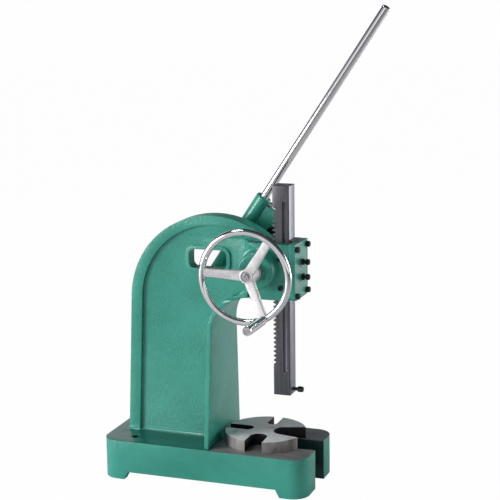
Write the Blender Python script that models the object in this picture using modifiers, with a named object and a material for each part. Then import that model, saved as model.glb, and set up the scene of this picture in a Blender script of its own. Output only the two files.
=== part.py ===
"""Ratchet arbor press: cast C frame on a slotted base, a rack ram driven by a pinion shaft,
a handwheel on the near end of that shaft and a ratchet lever on its far end.

Axes: +X runs from the column towards the ram, +Y from the handwheel side to the lever side, +Z up.
Every place is worked out from the middle of the base, then one root empty moves the whole press
so that the middle of its overall box stands at the origin, on the floor.
"""

import math

import bmesh
import bpy
from mathutils import Matrix, Vector

# ---------------------------------------------------------------- driving sizes, in metres
GAP = 0.0003                    # left between pieces that touch
RUNNING = 0.0003                # left round a shaft or a slide

BASE_LENGTH = 0.480
BASE_WIDTH = 0.218
BASE_HEIGHT = 0.0882            # machined pad of the base
BASE_CORNER = 0.037
BASE_WALL = 0.016
BASE_TOP = 0.022
PAD_START = 0.020               # x where the machined pad begins, under the table
PAD_STEP = 0.001                # painted top above the machined pad
FOOT_HEIGHT = 0.0176
FOOT_REAR = -0.185              # x where the rear feet end, on the floor
FOOT_FRONT = 0.183              # x where the front feet begin, on the floor
FOOT_SLOPE = 0.010
BASE_SLOT_WIDTH = 0.063
BOLT_HOLE_RADIUS = 0.007
BOLT_HOLE_X = -0.172
BOLT_HOLE_Y = 0.071

WEB = 0.024                     # thickness of the C frame's web
RIM = 0.040                     # thickness of its outer rim
COLUMN_REAR = -0.209            # x of the column's back edge on the base
ARCH_X = 0.003
ARCH_Z = 0.396
ARCH_RADIUS = 0.198
PANEL_X = 0.0065
PANEL_Z = 0.398
PANEL_RADIUS = 0.175
PANEL_REAR = -0.183             # x of the panel's back edge on the base
PANEL_FOOT = 0.010              # height of the panel's lower edge above the base
THROAT_FOOT = 0.016             # x of the flange's front face on the base
THROAT_X = 0.092
THROAT_Z = 0.350
THROAT_RADIUS = 0.072
FLANGE = 0.0098
FLANGE_FOOT_HALF = 0.101
FLANGE_TOP_HALF = 0.078
WINDOW_LOW = (-0.055, 0.474)
WINDOW_HIGH = (0.034, 0.517)
WINDOW_CORNER = 0.013
WINDOW_BORDER = 0.008
WINDOW_RAISE = 0.004

HEAD_WALL = 0.040               # full-width head behind the ram, where the pinion sits
HEAD_HALF = 0.045
HEAD_HEIGHT = 0.123
HEAD_RAMP = 0.030               # shoulder between the web and the full width
NEAR_BOSS = 0.043               # how far the near bearing boss stands out of the head
FAR_BOSS = 0.013
BOSS_RADIUS = 0.041
BOSS_ROUND = 0.006

RAM_SIDE = 0.0381
RAM_LENGTH = 0.4634
RAM_X = 0.1607
RAM_NOSE_Z = 0.2026             # nose of the ram above the floor, at rest
RACK_MODULE = 0.003175
RACK_TOP_GAP = 0.412            # uppermost tooth space above the ram's nose
RACK_GAPS = 35
PRESSURE_ANGLE = math.radians(25)
BACKLASH = 0.0003
PINION_TEETH = 13
PINION_Z = 0.491
GROOVE_WIDTH = 0.008
GROOVE_DEPTH = 0.0035
GROOVE_OFFSET = 0.0075          # groove ahead of the ram's axis
DOG_RADIUS = 0.003
NOSE_BORE = 0.0095
NOSE_BORE_DEPTH = 0.036
NOSE_SCREW_Z = 0.0112

GIB = 0.006
COVER = 0.0140
COVER_CORNER = 0.010
COVER_SCREW_Y = 0.036
COVER_SCREW_MARGIN = 0.0115
GIB_SCREW_OFFSETS = (0.009, -0.024)      # from the pinion's height
GUIDE_SCREW_OFFSETS = (0.022, -0.042)
SCREW_RADIUS = 0.0038
SCREW_HEAD_RADIUS = 0.0065
SCREW_HEAD = 0.008
NUT_FLATS = 0.013
NUT = 0.006

JOURNAL = 0.016
NEAR_SEAT = 0.010
FAR_SEAT = 0.013
THREAD = 0.008
COLLAR_RADIUS = 0.019
COLLAR = 0.011
HUB_RADIUS = 0.0155
HUB_LENGTH = 0.040
HUB_RECESS = 0.004
KEY = 0.005
WHEEL_RADIUS = 0.0956            # to the middle of the rim's section
WHEEL_RIM = 0.0073
WHEEL_DISH = 0.008              # rim ahead of the hub's face
SPOKES = 3
SPOKE_ROOT = 0.023
SPOKE_TIP = 0.016
SPOKE_THICK = 0.010
GRIP_RADIUS = 0.010
GRIP_LENGTH = 0.093
GRIP_STUD = 0.0036
GRIP_SHOULDER = 0.004

RATCHET_TEETH = 24
RATCHET_RADIUS = 0.037
RATCHET_DEPTH = 0.0055
RATCHET = 0.013
PAWL_PIVOT_RADIUS = 0.060
PAWL_PIVOT_ANGLE = 138.0        # degrees, in the lever's own plane
PAWL_REACH = 41.0               # degrees from the pivot to the tooth it drives
PAWL_LIFT = 15.0                # degrees it is lifted, clear of the wheel, at rest
PAWL_PIN = 0.004

LEVER_LEAN = math.radians(33.7)
LEVER_OFFSET = 0.103            # socket's axis from the pinion's axis
SOCKET_RADIUS = 0.0175
SOCKET_LOW = -0.128             # ends of the socket along the lever
SOCKET_HIGH = 0.092
ARM = 0.014
SET_SCREW_DOWN = 0.0068         # clamping screw below the socket's mouth
LEVER_HUB = 0.030
LEVER_HUB_LENGTH = 0.026
ROD_RADIUS = 0.0095
ROD_LENGTH = 0.715
END_WASHER = 0.003
END_NUT = 0.010
END_NUT_FLATS = 0.024

TABLE_RADIUS = 0.090
TABLE = 0.0254
TABLE_X = 0.115
TABLE_PIN = 0.008
TABLE_PIN_LENGTH = 0.030
# direction in degrees, radius of the round end, its centre from the table's, flare of each side
TABLE_SLOTS = (
    (180.0, 0.0140, 0.0430, 0.0),
    (-89.0, 0.0197, 0.0524, 0.0),
    (3.0, 0.0260, 0.0450, 14.0),
    (90.0, 0.0110, 0.0470, 0.0),
)

# ---------------------------------------------------------------- places worked out from them
RAM_HALF = RAM_SIDE / 2
RACK_PITCH = math.pi * RACK_MODULE
PINION_RADIUS = PINION_TEETH * RACK_MODULE / 2
PINION_X = RAM_X - RAM_HALF + RACK_MODULE - PINION_RADIUS
PINION_TIP = PINION_RADIUS + RACK_MODULE
PINION_BORE = PINION_TIP + 0.0007
PINION_HALF = RAM_HALF
PAINTED_TOP = BASE_HEIGHT + PAD_STEP
HEAD_LOW = THROAT_Z + THROAT_RADIUS - 0.001
HEAD_TOP = HEAD_LOW + HEAD_HEIGHT
HEAD_FRONT = RAM_X + RAM_HALF + RUNNING + GIB
HEAD_BACK = RAM_X - RAM_HALF - HEAD_WALL - HEAD_RAMP
COVER_BACK = HEAD_FRONT + GAP
COVER_FRONT = COVER_BACK + COVER
NEAR_FACE = -(HEAD_HALF + NEAR_BOSS)
FAR_FACE = HEAD_HALF + FAR_BOSS
COLLAR_BACK = NEAR_FACE - 2 * GAP
HUB_BACK = COLLAR_BACK - COLLAR - GAP
HUB_FACE = HUB_BACK - HUB_LENGTH
WHEEL_Y = HUB_FACE - WHEEL_DISH
GRIP_ANGLE = -64.0
RATCHET_Y = FAR_FACE + 0.0015
ARM_Y = RATCHET_Y + RATCHET + 0.001
SOCKET_Y = ARM_Y + ARM / 2
HUB_END = ARM_Y + LEVER_HUB_LENGTH
BASE_SLOT_X = RAM_X + 0.0043
GUIDE_X = RAM_X + GROOVE_OFFSET
RATCHET_STEP = RACK_PITCH * PINION_TEETH / RATCHET_TEETH
TRAVEL_UP = 35 * RATCHET_STEP
TRAVEL_DOWN = 16 * RATCHET_STEP


# ---------------------------------------------------------------- collections, groups, materials
for old in list(bpy.data.objects):
    bpy.data.objects.remove(old)

parts = bpy.data.collections.new("arbor_press")
cutters = bpy.data.collections.new("cutters")
cutters.hide_render = True
for collection in (parts, cutters):
    bpy.context.scene.collection.children.link(collection)


def group(name, place=(0, 0, 0), turn_y=0.0, parent=None):
    """An empty that carries the pieces of one moving body, on that body's axis."""
    empty = bpy.data.objects.new(name, None)
    empty.empty_display_size = 0.03
    empty.location = place
    empty.rotation_euler = (0, turn_y, 0)
    empty.parent = parent
    parts.objects.link(empty)
    return empty


root = group("press_root")
pinion_axis = group("pinion_axis", (PINION_X, 0, PINION_Z), parent=root)
lever_axis = group("lever_axis", (PINION_X, 0, PINION_Z), LEVER_LEAN, root)
ram_axis = group("ram_axis", (RAM_X, 0, RAM_NOSE_Z), parent=root)
table_axis = group("table_axis", (TABLE_X, 0, BASE_HEIGHT), parent=root)


def material(name, colour, roughness, metallic):
    made = bpy.data.materials.new(name)
    made.use_nodes = True
    shader = made.node_tree.nodes["Principled BSDF"]
    shader.inputs["Base Color"].default_value = (*colour, 1)
    shader.inputs["Roughness"].default_value = roughness
    shader.inputs["Metallic"].default_value = metallic
    return made


GREEN = material("green_enamel", (0.03, 0.22, 0.15), 0.35, 0.0)
MACHINED = material("machined_steel", (0.42, 0.41, 0.42), 0.4, 1.0)
BLACKENED = material("blackened_steel", (0.05, 0.05, 0.055), 0.4, 0.8)
CHROME = material("chrome", (0.8, 0.8, 0.8), 0.08, 1.0)
SATIN = material("satin_casting", (0.62, 0.62, 0.62), 0.45, 0.9)
BRONZE = material("bronze", (0.55, 0.36, 0.14), 0.4, 1.0)


# ---------------------------------------------------------------- modelling tools
def settle(mesh_object):
    """Shades a piece smooth but for its real edges."""
    mesh_object.data.shade_smooth()
    mesh_object.data.set_sharp_from_angle(angle=math.radians(35))
    return mesh_object


def place(obj, finish, parent=root):
    """Puts a finished piece in the press: made in its group's own axes."""
    for collection in list(obj.users_collection):
        collection.objects.unlink(obj)
    parts.objects.link(obj)
    obj.parent = parent
    obj.data.materials.clear()
    obj.data.materials.append(finish)
    return settle(obj)


def baked(obj):
    """The same shape as a plain mesh, its loose caps welded and any pinhole left by a cut closed."""
    bpy.context.view_layer.update()
    graph = bpy.context.evaluated_depsgraph_get()
    mesh = bpy.data.meshes.new_from_object(obj.evaluated_get(graph))
    shape = bmesh.new()
    shape.from_mesh(mesh)
    bmesh.ops.remove_doubles(shape, verts=shape.verts, dist=0.000005)
    bmesh.ops.holes_fill(shape, edges=shape.edges, sides=5)
    bmesh.ops.transform(shape, matrix=obj.matrix_world, verts=shape.verts)
    bmesh.ops.recalc_face_normals(shape, faces=shape.faces)
    shape.to_mesh(mesh)
    shape.free()
    name = obj.name
    bpy.data.objects.remove(obj)
    made = bpy.data.objects.new(name, mesh)
    bpy.context.scene.collection.objects.link(made)
    return made


def combine(target, tool, operation):
    """Joins a tool to a piece or cuts it away, and keeps the tool as a guide."""
    for collection in list(tool.users_collection):
        collection.objects.unlink(tool)
    cutters.objects.link(tool)
    tool.hide_render = True
    tool.display_type = "WIRE"
    change = target.modifiers.new(tool.name, "BOOLEAN")
    change.operation = operation
    change.solver = "EXACT"
    change.object = tool
    tool.parent = target.parent
    return target


def join(target, *tools):
    for tool in tools:
        combine(target, tool, "UNION")
    return target


def cut(target, *tools):
    for tool in tools:
        combine(target, tool, "DIFFERENCE")
    return target


def finish_cuts(obj):
    """Makes a piece's joins and cuts part of its mesh, and drops the tools that made them."""
    tools = [change.object for change in obj.modifiers]
    made = baked(obj)
    for tool in tools:
        if tool.users_collection and tool.users_collection[0] is cutters:
            bpy.data.objects.remove(tool)
    return made


def arc(centre, radius, start, end, steps):
    """Points of an arc, between two angles in degrees, both ends included."""
    angles = [math.radians(start + (end - start) * i / steps) for i in range(steps + 1)]
    return [(centre[0] + radius * math.cos(a), centre[1] + radius * math.sin(a)) for a in angles]


def rounded_box(low, high, radius, steps=5):
    """Outline of a rectangle with round corners."""
    corners = (
        ((high[0] - radius, low[1] + radius), -90),
        ((high[0] - radius, high[1] - radius), 0),
        ((low[0] + radius, high[1] - radius), 90),
        ((low[0] + radius, low[1] + radius), 180),
    )
    points = []
    for centre, start in corners:
        points += arc(centre, radius, start, start + 90, steps)
    return points


TURNS = {
    "X": (math.pi / 2, 0, math.pi / 2),
    "Y": (math.pi / 2, 0, 0),
    "Z": (0, 0, 0),
}


def prism(name, points, low, high, axis):
    """A flat outline given thickness along an axis. Its two sizes follow the other axes in order."""
    curve = bpy.data.curves.new(name, "CURVE")
    curve.dimensions = "2D"
    curve.fill_mode = "BOTH"
    curve.extrude = (high - low) / 2
    spline = curve.splines.new("POLY")
    spline.points.add(len(points) - 1)
    for point, (across, up) in zip(spline.points, points):
        point.co = (across, up, 0, 1)
    spline.use_cyclic_u = True
    obj = bpy.data.objects.new(name, curve)
    bpy.context.scene.collection.objects.link(obj)
    obj.rotation_euler = TURNS[axis]
    obj.location["XYZ".index(axis)] = (high + low) / 2
    return baked(obj)


def block(name, low, high):
    """A plain box between two corners."""
    bpy.ops.mesh.primitive_cube_add(size=1)
    obj = bpy.context.object
    obj.name = name
    obj.location = [(a + b) / 2 for a, b in zip(low, high)]
    obj.scale = [b - a for a, b in zip(low, high)]
    return baked(obj)


def turned(name, profile, axis, centre=(0, 0, 0), sides=32):
    """A turned piece: its profile is (radius, place along the axis) down the outer side, top to bottom."""
    mesh = bpy.data.meshes.new(name)
    points = [(radius, 0, along) for radius, along in profile]
    mesh.from_pydata(points, [(i, i + 1) for i in range(len(points) - 1)], [])
    obj = bpy.data.objects.new(name, mesh)
    bpy.context.scene.collection.objects.link(obj)
    spin = obj.modifiers.new("turn", "SCREW")
    spin.steps = sides
    spin.render_steps = sides
    spin.use_merge_vertices = True
    spin.merge_threshold = 0.000001
    turn = {"X": Matrix.Rotation(math.pi / 2, 4, "Y"), "Y": Matrix.Rotation(-math.pi / 2, 4, "X"), "Z": Matrix()}
    obj.matrix_world = Matrix.Translation(centre) @ turn[axis]
    return baked(obj)


def cylinder(name, radius, low, high, axis, centre=(0, 0, 0), sides=32):
    return turned(name, [(0, high), (radius, high), (radius, low), (0, low)], axis, centre, sides)


def ring(name, outer, inner, low, high, axis, centre=(0, 0, 0), sides=32):
    profile = [(inner, high), (outer, high), (outer, low), (inner, low), (inner, high)]
    return turned(name, profile, axis, centre, sides)


def hexagon(name, flats, bore, low, high, axis, centre=(0, 0, 0)):
    """A hexagon nut."""
    nut = cylinder(name, flats / math.sqrt(3), low, high, axis, centre, 6)
    return finish_cuts(cut(nut, cylinder("nut_bore", bore, low - 0.001, high + 0.001, axis, centre, 20)))


# ---------------------------------------------------------------- frame casting
def throat_line(extra=0.0):
    """Front face of the throat flange, from the base up and round to the head."""
    foot = [(THROAT_FOOT - extra, BASE_HEIGHT - 0.005)]
    return foot + arc((THROAT_X, THROAT_Z), THROAT_RADIUS + extra, 180, 90, 12)


def base_block():
    """Base slab with rounded corners, feet, hollow underside and front slot."""
    half = (BASE_LENGTH / 2, BASE_WIDTH / 2)
    outline = rounded_box((-half[0], -half[1]), half, BASE_CORNER, 6)
    base = prism("frame_casting", outline, 0, PAINTED_TOP, "Z")
    pad = block("pad", (PAD_START, -half[1] - 0.01, BASE_HEIGHT), (half[0] + 0.01, half[1] + 0.01, PAINTED_TOP + 0.01))
    recess = [
        (FOOT_REAR, -0.001), (FOOT_FRONT, -0.001), (FOOT_FRONT - FOOT_SLOPE, FOOT_HEIGHT),
        (FOOT_REAR + FOOT_SLOPE, FOOT_HEIGHT),
    ]
    feet = prism("feet", recess, -half[1] - 0.01, half[1] + 0.01, "Y")
    slot_radius = BASE_SLOT_WIDTH / 2
    slot_line = [(half[0] + 0.01, slot_radius)] + arc((BASE_SLOT_X, 0), slot_radius, 90, 270, 14)
    slot = prism("base_slot", slot_line + [(half[0] + 0.01, -slot_radius)], -0.01, PAINTED_TOP + 0.01, "Z")
    inside = slot_radius + BASE_WALL
    reach = (half[0] - BASE_WALL, half[1] - BASE_WALL)
    hollow_line = [(-reach[0], -reach[1]), (reach[0], -reach[1]), (reach[0], -inside)]
    hollow_line += arc((BASE_SLOT_X, 0), inside, 270, 90, 14)
    hollow_line += [(reach[0], inside), (reach[0], reach[1]), (-reach[0], reach[1])]
    hollow = prism("hollow", hollow_line, -0.01, BASE_HEIGHT - BASE_TOP, "Z")
    return finish_cuts(cut(base, pad, feet, slot, hollow))


def column():
    """Web, outer rim and throat flange of the C frame."""
    low = BASE_HEIGHT - 0.005
    end = math.degrees(math.asin((HEAD_TOP - ARCH_Z) / ARCH_RADIUS))
    outer = arc((ARCH_X, ARCH_Z), ARCH_RADIUS, 180, end, 26)
    closing = [(outer[-1][0], HEAD_LOW + 0.02), (THROAT_X, HEAD_LOW + 0.008)]
    web_line = [(COLUMN_REAR, low)] + outer + closing + throat_line(FLANGE / 2)[::-1]
    web = prism("web", web_line, -RIM / 2, RIM / 2, "Y")
    foot = PAINTED_TOP + PANEL_FOOT
    stop = 62.0
    panel_line = [(PANEL_REAR, foot)] + arc((PANEL_X, PANEL_Z), PANEL_RADIUS, 180, stop, 24)
    panel_line += [(HEAD_BACK + HEAD_RAMP, HEAD_TOP - 0.012), (HEAD_BACK + HEAD_RAMP, HEAD_LOW - 0.02)]
    panel_line += [(THROAT_FOOT, THROAT_Z), (THROAT_FOOT, foot)]
    sides = []
    for name, start, finish in (("near_panel", -RIM, -WEB / 2), ("far_panel", WEB / 2, RIM)):
        sides.append(prism(name, panel_line, start, finish, "Y"))
    web = finish_cuts(cut(web, *sides))
    front = throat_line()
    band = prism("flange", front + throat_line(FLANGE)[::-1], -FLANGE_FOOT_HALF - 0.01, FLANGE_FOOT_HALF + 0.01, "Y")
    rise = HEAD_LOW - THROAT_Z
    edge = [(FLANGE_FOOT_HALF, low - 0.01), (FLANGE_TOP_HALF, THROAT_Z)]
    for step in range(1, 7):
        turn = step / 6 * math.pi / 2
        inward = (FLANGE_TOP_HALF - HEAD_HALF) * (1 - math.cos(turn))
        edge.append((FLANGE_TOP_HALF - inward, THROAT_Z + rise * math.sin(turn)))
    edge.append((HEAD_HALF - 0.001, HEAD_LOW + 0.03))
    sides_line = edge + [(-across, up) for across, up in reversed(edge)]
    shape = prism("flange_shape", sides_line, THROAT_FOOT - 0.05, THROAT_X + 0.05, "X")
    combine(band, shape, "INTERSECT")
    return web, finish_cuts(band)


def head_block():
    """Head that holds the ram and the pinion, with a gradual shoulder off the web."""
    half = []
    steps = 6
    for step in range(steps + 1):
        share = step / steps
        swell = (1 - math.cos(math.pi * share)) / 2
        half.append((HEAD_BACK + HEAD_RAMP * share, WEB / 2 - 0.001 + (HEAD_HALF - WEB / 2 + 0.001) * swell))
    half.append((HEAD_FRONT, HEAD_HALF))
    outline = [(HEAD_BACK - 0.01, -WEB / 2 + 0.001)] + [(x, -y) for x, y in half]
    outline += half[::-1] + [(HEAD_BACK - 0.01, WEB / 2 - 0.001)]
    return prism("head", outline, HEAD_LOW, HEAD_TOP, "Z")


def boss(name, face, sign):
    """Bearing boss with a rounded outer edge; its axis is the pinion's."""
    round_line = [(BOSS_RADIUS - BOSS_ROUND, 0)]
    round_line += [(x, y) for x, y in arc((BOSS_RADIUS - BOSS_ROUND, -BOSS_ROUND), BOSS_ROUND, 75, 0, 4)]
    profile = [(0, face)] + [(r, face + sign * along) for r, along in round_line] + [(BOSS_RADIUS, 0), (0, 0)]
    if sign < 0:
        profile = profile[::-1]
    return turned(name, profile, "Y", (PINION_X, 0, PINION_Z), 40)


def window_border():
    low = [a - WINDOW_BORDER for a in WINDOW_LOW]
    high = [a + WINDOW_BORDER for a in WINDOW_HIGH]
    thick = WEB / 2 + WINDOW_RAISE
    return prism("window_border", rounded_box(low, high, WINDOW_CORNER + WINDOW_BORDER), -thick, thick, "Y")


def frame_casting():
    frame = base_block()
    web, flange = column()
    near = boss("near_boss", NEAR_FACE, -1)
    far = boss("far_boss", FAR_FACE, 1)
    frame = finish_cuts(join(frame, web, flange, head_block(), window_border(), near, far))
    through = HEAD_TOP + 0.02
    channel = block(
        "ram_channel",
        (RAM_X - RAM_HALF - RUNNING, -RAM_HALF - RUNNING, HEAD_LOW - 0.06),
        (HEAD_FRONT + 0.02, RAM_HALF + RUNNING, through),
    )
    bore = cylinder("bearing_bore", PINION_BORE, NEAR_FACE - 0.01, FAR_FACE + 0.01, "Y", (PINION_X, 0, PINION_Z), 48)
    window = prism("window", rounded_box(WINDOW_LOW, WINDOW_HIGH, WINDOW_CORNER), -RIM, RIM, "Y")
    tools = [channel, bore, window]
    for side in (-1, 1):
        hole = (BOLT_HOLE_X, side * BOLT_HOLE_Y, 0)
        tools.append(cylinder("bolt_hole", BOLT_HOLE_RADIUS, 0.03, PAINTED_TOP + 0.01, "Z", hole, 20))
    for across, height in cover_screw_places():
        spot = (0, across, height)
        tools.append(cylinder("tapped_hole", SCREW_RADIUS + GAP, HEAD_FRONT - 0.021, HEAD_FRONT + 0.01, "X", spot, 16))
    for height in guide_screw_heights():
        spot = (GUIDE_X, 0, height)
        tools.append(cylinder("guide_hole", SCREW_RADIUS + GAP, -HEAD_HALF - 0.01, 0, "Y", spot, 16))
    pin_hole = cylinder("table_pin_hole", TABLE_PIN + GAP, BASE_HEIGHT - TABLE_PIN_LENGTH / 2 - GAP,
                        BASE_HEIGHT + 0.01, "Z", (TABLE_X, 0, 0), 24)
    frame = finish_cuts(cut(frame, *tools, pin_hole))
    frame.name = "frame_casting"
    return place(frame, GREEN)


def cover_screw_places():
    low = HEAD_LOW + COVER_SCREW_MARGIN - 0.0015
    high = HEAD_TOP - COVER_SCREW_MARGIN
    return [(across, height) for height in (high, low) for across in (-COVER_SCREW_Y, COVER_SCREW_Y)]


def guide_screw_heights():
    return [PINION_Z + offset for offset in GUIDE_SCREW_OFFSETS]


def gib_screw_heights():
    return [PINION_Z + offset for offset in GIB_SCREW_OFFSETS]


# ---------------------------------------------------------------- table
def table():
    """Round table plate with a slot of a different width at each quarter, turning on a pin."""
    plate = cylinder("table_plate", TABLE_RADIUS, GAP, TABLE, "Z", sides=80)
    for angle, radius, centre, flare in TABLE_SLOTS:
        round_end = arc((centre, 0), radius, 90 + flare, 270 - flare, 12)
        out = TABLE_RADIUS + 0.01
        spread = (out - round_end[0][0]) * math.tan(math.radians(flare))
        line = [(out, round_end[0][1] + spread)] + round_end + [(out, -round_end[0][1] - spread)]
        slot = prism("table_slot", line, -0.01, TABLE + 0.01, "Z")
        slot.data.transform(Matrix.Rotation(math.radians(angle), 4, "Z"))
        cut(plate, slot)
    depth = TABLE_PIN_LENGTH / 2
    cut(plate, cylinder("pin_socket", TABLE_PIN + RUNNING, -0.01, depth + GAP, "Z", sides=24))
    plate = finish_cuts(plate)
    plate.name = "table_plate"
    place(plate, MACHINED, table_axis)
    pin = cylinder("table_pivot_pin", TABLE_PIN, BASE_HEIGHT - depth, BASE_HEIGHT + depth, "Z", (TABLE_X, 0, 0), 24)
    place(pin, BLACKENED)


# ---------------------------------------------------------------- ram, rack and gib
def rack_line():
    """Back edge of the ram from its nose up: straight-sided teeth, one space for each pitch."""
    back = -RAM_HALF
    depth = 2.25 * RACK_MODULE
    slope = math.tan(PRESSURE_ANGLE)
    mouth = RACK_PITCH / 4 + RACK_MODULE * slope + BACKLASH / 2
    floor = RACK_PITCH / 4 - 1.25 * RACK_MODULE * slope + BACKLASH / 2
    line = []
    for index in range(RACK_GAPS):
        middle = RACK_TOP_GAP - (RACK_GAPS - 1 - index) * RACK_PITCH
        line += [(back, middle - mouth), (back + depth, middle - floor)]
        line += [(back + depth, middle + floor), (back, middle + mouth)]
    return line


def ram():
    chamfer = 0.0015
    line = [(-RAM_HALF, chamfer)] + rack_line()
    line += [(-RAM_HALF, RAM_LENGTH - chamfer), (-RAM_HALF + chamfer, RAM_LENGTH)]
    line += [(RAM_HALF - chamfer, RAM_LENGTH), (RAM_HALF, RAM_LENGTH - chamfer)]
    line += [(RAM_HALF, chamfer), (RAM_HALF - chamfer, 0), (-RAM_HALF + chamfer, 0)]
    body = prism("ram_rack", line, -RAM_HALF, RAM_HALF, "Y")
    low = guide_screw_heights()[1] - RAM_NOSE_Z - TRAVEL_UP - DOG_RADIUS - 0.001
    high = guide_screw_heights()[0] - RAM_NOSE_Z + TRAVEL_DOWN + DOG_RADIUS + 0.030
    groove = block(
        "ram_groove",
        (GROOVE_OFFSET - GROOVE_WIDTH / 2, -RAM_HALF - 0.01, low),
        (GROOVE_OFFSET + GROOVE_WIDTH / 2, -RAM_HALF + GROOVE_DEPTH, high),
    )
    nose = cylinder("nose_bore", NOSE_BORE, -0.01, NOSE_BORE_DEPTH, "Z", sides=24)
    lock = cylinder("nose_screw_hole", SCREW_RADIUS + GAP, 0, RAM_HALF + 0.01, "X", (0, 0, NOSE_SCREW_Z), 16)
    body = finish_cuts(cut(body, groove, nose, lock))
    body.name = "ram_rack"
    place(body, BLACKENED, ram_axis)
    reach = RAM_HALF + 0.0115
    profile = [
        (0, reach + 0.012), (0.0058, reach + 0.012), (0.0064, reach + 0.010), (0.0064, reach),
        (SCREW_RADIUS, reach), (SCREW_RADIUS, NOSE_BORE + GAP), (0, NOSE_BORE + GAP),
    ]
    screw = turned("ram_nose_screw", profile, "X", (0, 0, NOSE_SCREW_Z), 20)
    place(screw, BLACKENED, ram_axis)


def gib():
    """Wear strip between the ram and the cover, with a lip that stands above the head."""
    low = (RAM_X + RAM_HALF + RUNNING, -RAM_HALF, HEAD_LOW + 0.003)
    high = (HEAD_FRONT, RAM_HALF, HEAD_TOP + 0.005)
    place(block("front_gib", low, high), BLACKENED)


# ---------------------------------------------------------------- cover and its screws
def cap_screw(name, seat, length, axis, spot, head=SCREW_HEAD, radius=SCREW_HEAD_RADIUS, tip=None, sides=20):
    """Socket head cap screw whose head's underside is at seat; length is signed, away from the head."""
    sign = math.copysign(1, length)
    top = seat - sign * head
    end = seat + length
    profile = [(0, top + sign * 0.003), (0.0026, top + sign * 0.003), (0.0026, top), (radius - 0.0008, top)]
    profile += [(radius, top + sign * 0.0008), (radius, seat), (SCREW_RADIUS, seat)]
    if tip:
        profile += [(SCREW_RADIUS, tip[1]), (tip[0], tip[1])]
    profile += [(tip[0] if tip else SCREW_RADIUS, end), (0, end)]
    if sign > 0:
        profile = profile[::-1]
    return turned(name, profile, axis, spot, sides)


def cover():
    low_corner = COVER_CORNER
    line = [(-HEAD_HALF, HEAD_TOP), (-HEAD_HALF, HEAD_LOW + low_corner)]
    line += arc((-HEAD_HALF + low_corner, HEAD_LOW + low_corner), low_corner, 180, 270, 5)
    line += arc((HEAD_HALF - low_corner, HEAD_LOW + low_corner), low_corner, 270, 360, 5)
    line += [(HEAD_HALF, HEAD_TOP)]
    plate = prism("cover_plate", line, COVER_BACK, COVER_FRONT, "X")
    for height in gib_screw_heights():
        spot = (0, 0, height)
        join(plate, cylinder("cover_boss", 0.011, COVER_BACK + 0.002, COVER_FRONT + 0.0015, "X", spot, 24))
    for across, height in cover_screw_places():
        spot = (0, across, height)
        cut(plate, cylinder("cover_hole", SCREW_RADIUS + GAP, COVER_BACK - 0.01, COVER_FRONT + 0.01, "X", spot, 16))
    for height in gib_screw_heights():
        spot = (0, 0, height)
        cut(plate, cylinder("gib_hole", SCREW_RADIUS + GAP, COVER_BACK - 0.01, COVER_FRONT + 0.01, "X", spot, 16))
    plate = finish_cuts(plate)
    plate.name = "cover_plate"
    place(plate, GREEN)
    for number, (across, height) in enumerate(cover_screw_places(), 1):
        seat = COVER_FRONT + GAP
        length = HEAD_FRONT - 0.018 - seat
        place(cap_screw(f"cover_screw_{number}", seat, length, "X", (0, across, height)), BLACKENED)
    for number, height in enumerate(gib_screw_heights(), 1):
        nut_back = COVER_FRONT + 0.0015 + GAP
        nut = hexagon("nut", NUT_FLATS, SCREW_RADIUS + GAP, nut_back, nut_back + NUT, "X", (0, 0, height))
        nut.name = f"gib_lock_nut_{number}"
        place(nut, BLACKENED)
        seat = nut_back + NUT + 0.003
        length = HEAD_FRONT + GAP - seat
        place(cap_screw(f"gib_adjust_screw_{number}", seat, length, "X", (0, 0, height)), BLACKENED)
    for number, height in enumerate(guide_screw_heights(), 1):
        seat = -HEAD_HALF - GAP
        inner = -RAM_HALF - RUNNING - 0.001
        length = -RAM_HALF + GROOVE_DEPTH - 2 * GAP - seat
        screw = cap_screw(f"side_guide_screw_{number}", seat, length, "Y", (GUIDE_X, 0, height),
                          0.006, 0.0055, (DOG_RADIUS, inner))
        place(screw, BLACKENED)


# ---------------------------------------------------------------- pinion shaft and bearings
def pinion_line():
    """Outline of the pinion: involute flanks that mesh with the rack's straight teeth."""
    base = PINION_RADIUS * math.cos(PRESSURE_ANGLE)
    root_radius = PINION_RADIUS - 1.25 * RACK_MODULE
    curl = math.tan(PRESSURE_ANGLE) - PRESSURE_ANGLE
    half_tooth = math.pi / (2 * PINION_TEETH) - BACKLASH / 2 / PINION_RADIUS
    flank = [(root_radius, half_tooth + curl)]
    steps = 5
    for step in range(steps + 1):
        radius = base + (PINION_TIP - base) * step / steps
        slant = math.acos(base / radius)
        flank.append((radius, half_tooth + curl - (math.tan(slant) - slant)))
    lowest_gap = RAM_NOSE_Z + RACK_TOP_GAP - (RACK_GAPS - 1) * RACK_PITCH
    above = (lowest_gap - PINION_Z) % RACK_PITCH
    start = above / PINION_RADIUS
    line = []
    for tooth in range(PINION_TEETH):
        middle = start + tooth * 2 * math.pi / PINION_TEETH
        polar = [(radius, middle - half) for radius, half in flank]
        polar += [(radius, middle + half) for radius, half in reversed(flank)]
        line += [(radius * math.cos(a), radius * math.sin(a)) for radius, a in polar]
    return line


def keyway(name, seat, low, high, room):
    """Space for a square key on top of a shaft seat."""
    half = KEY / 2 + room
    return block(name, (-half, low, seat - half), (half, high, seat + half))


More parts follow.
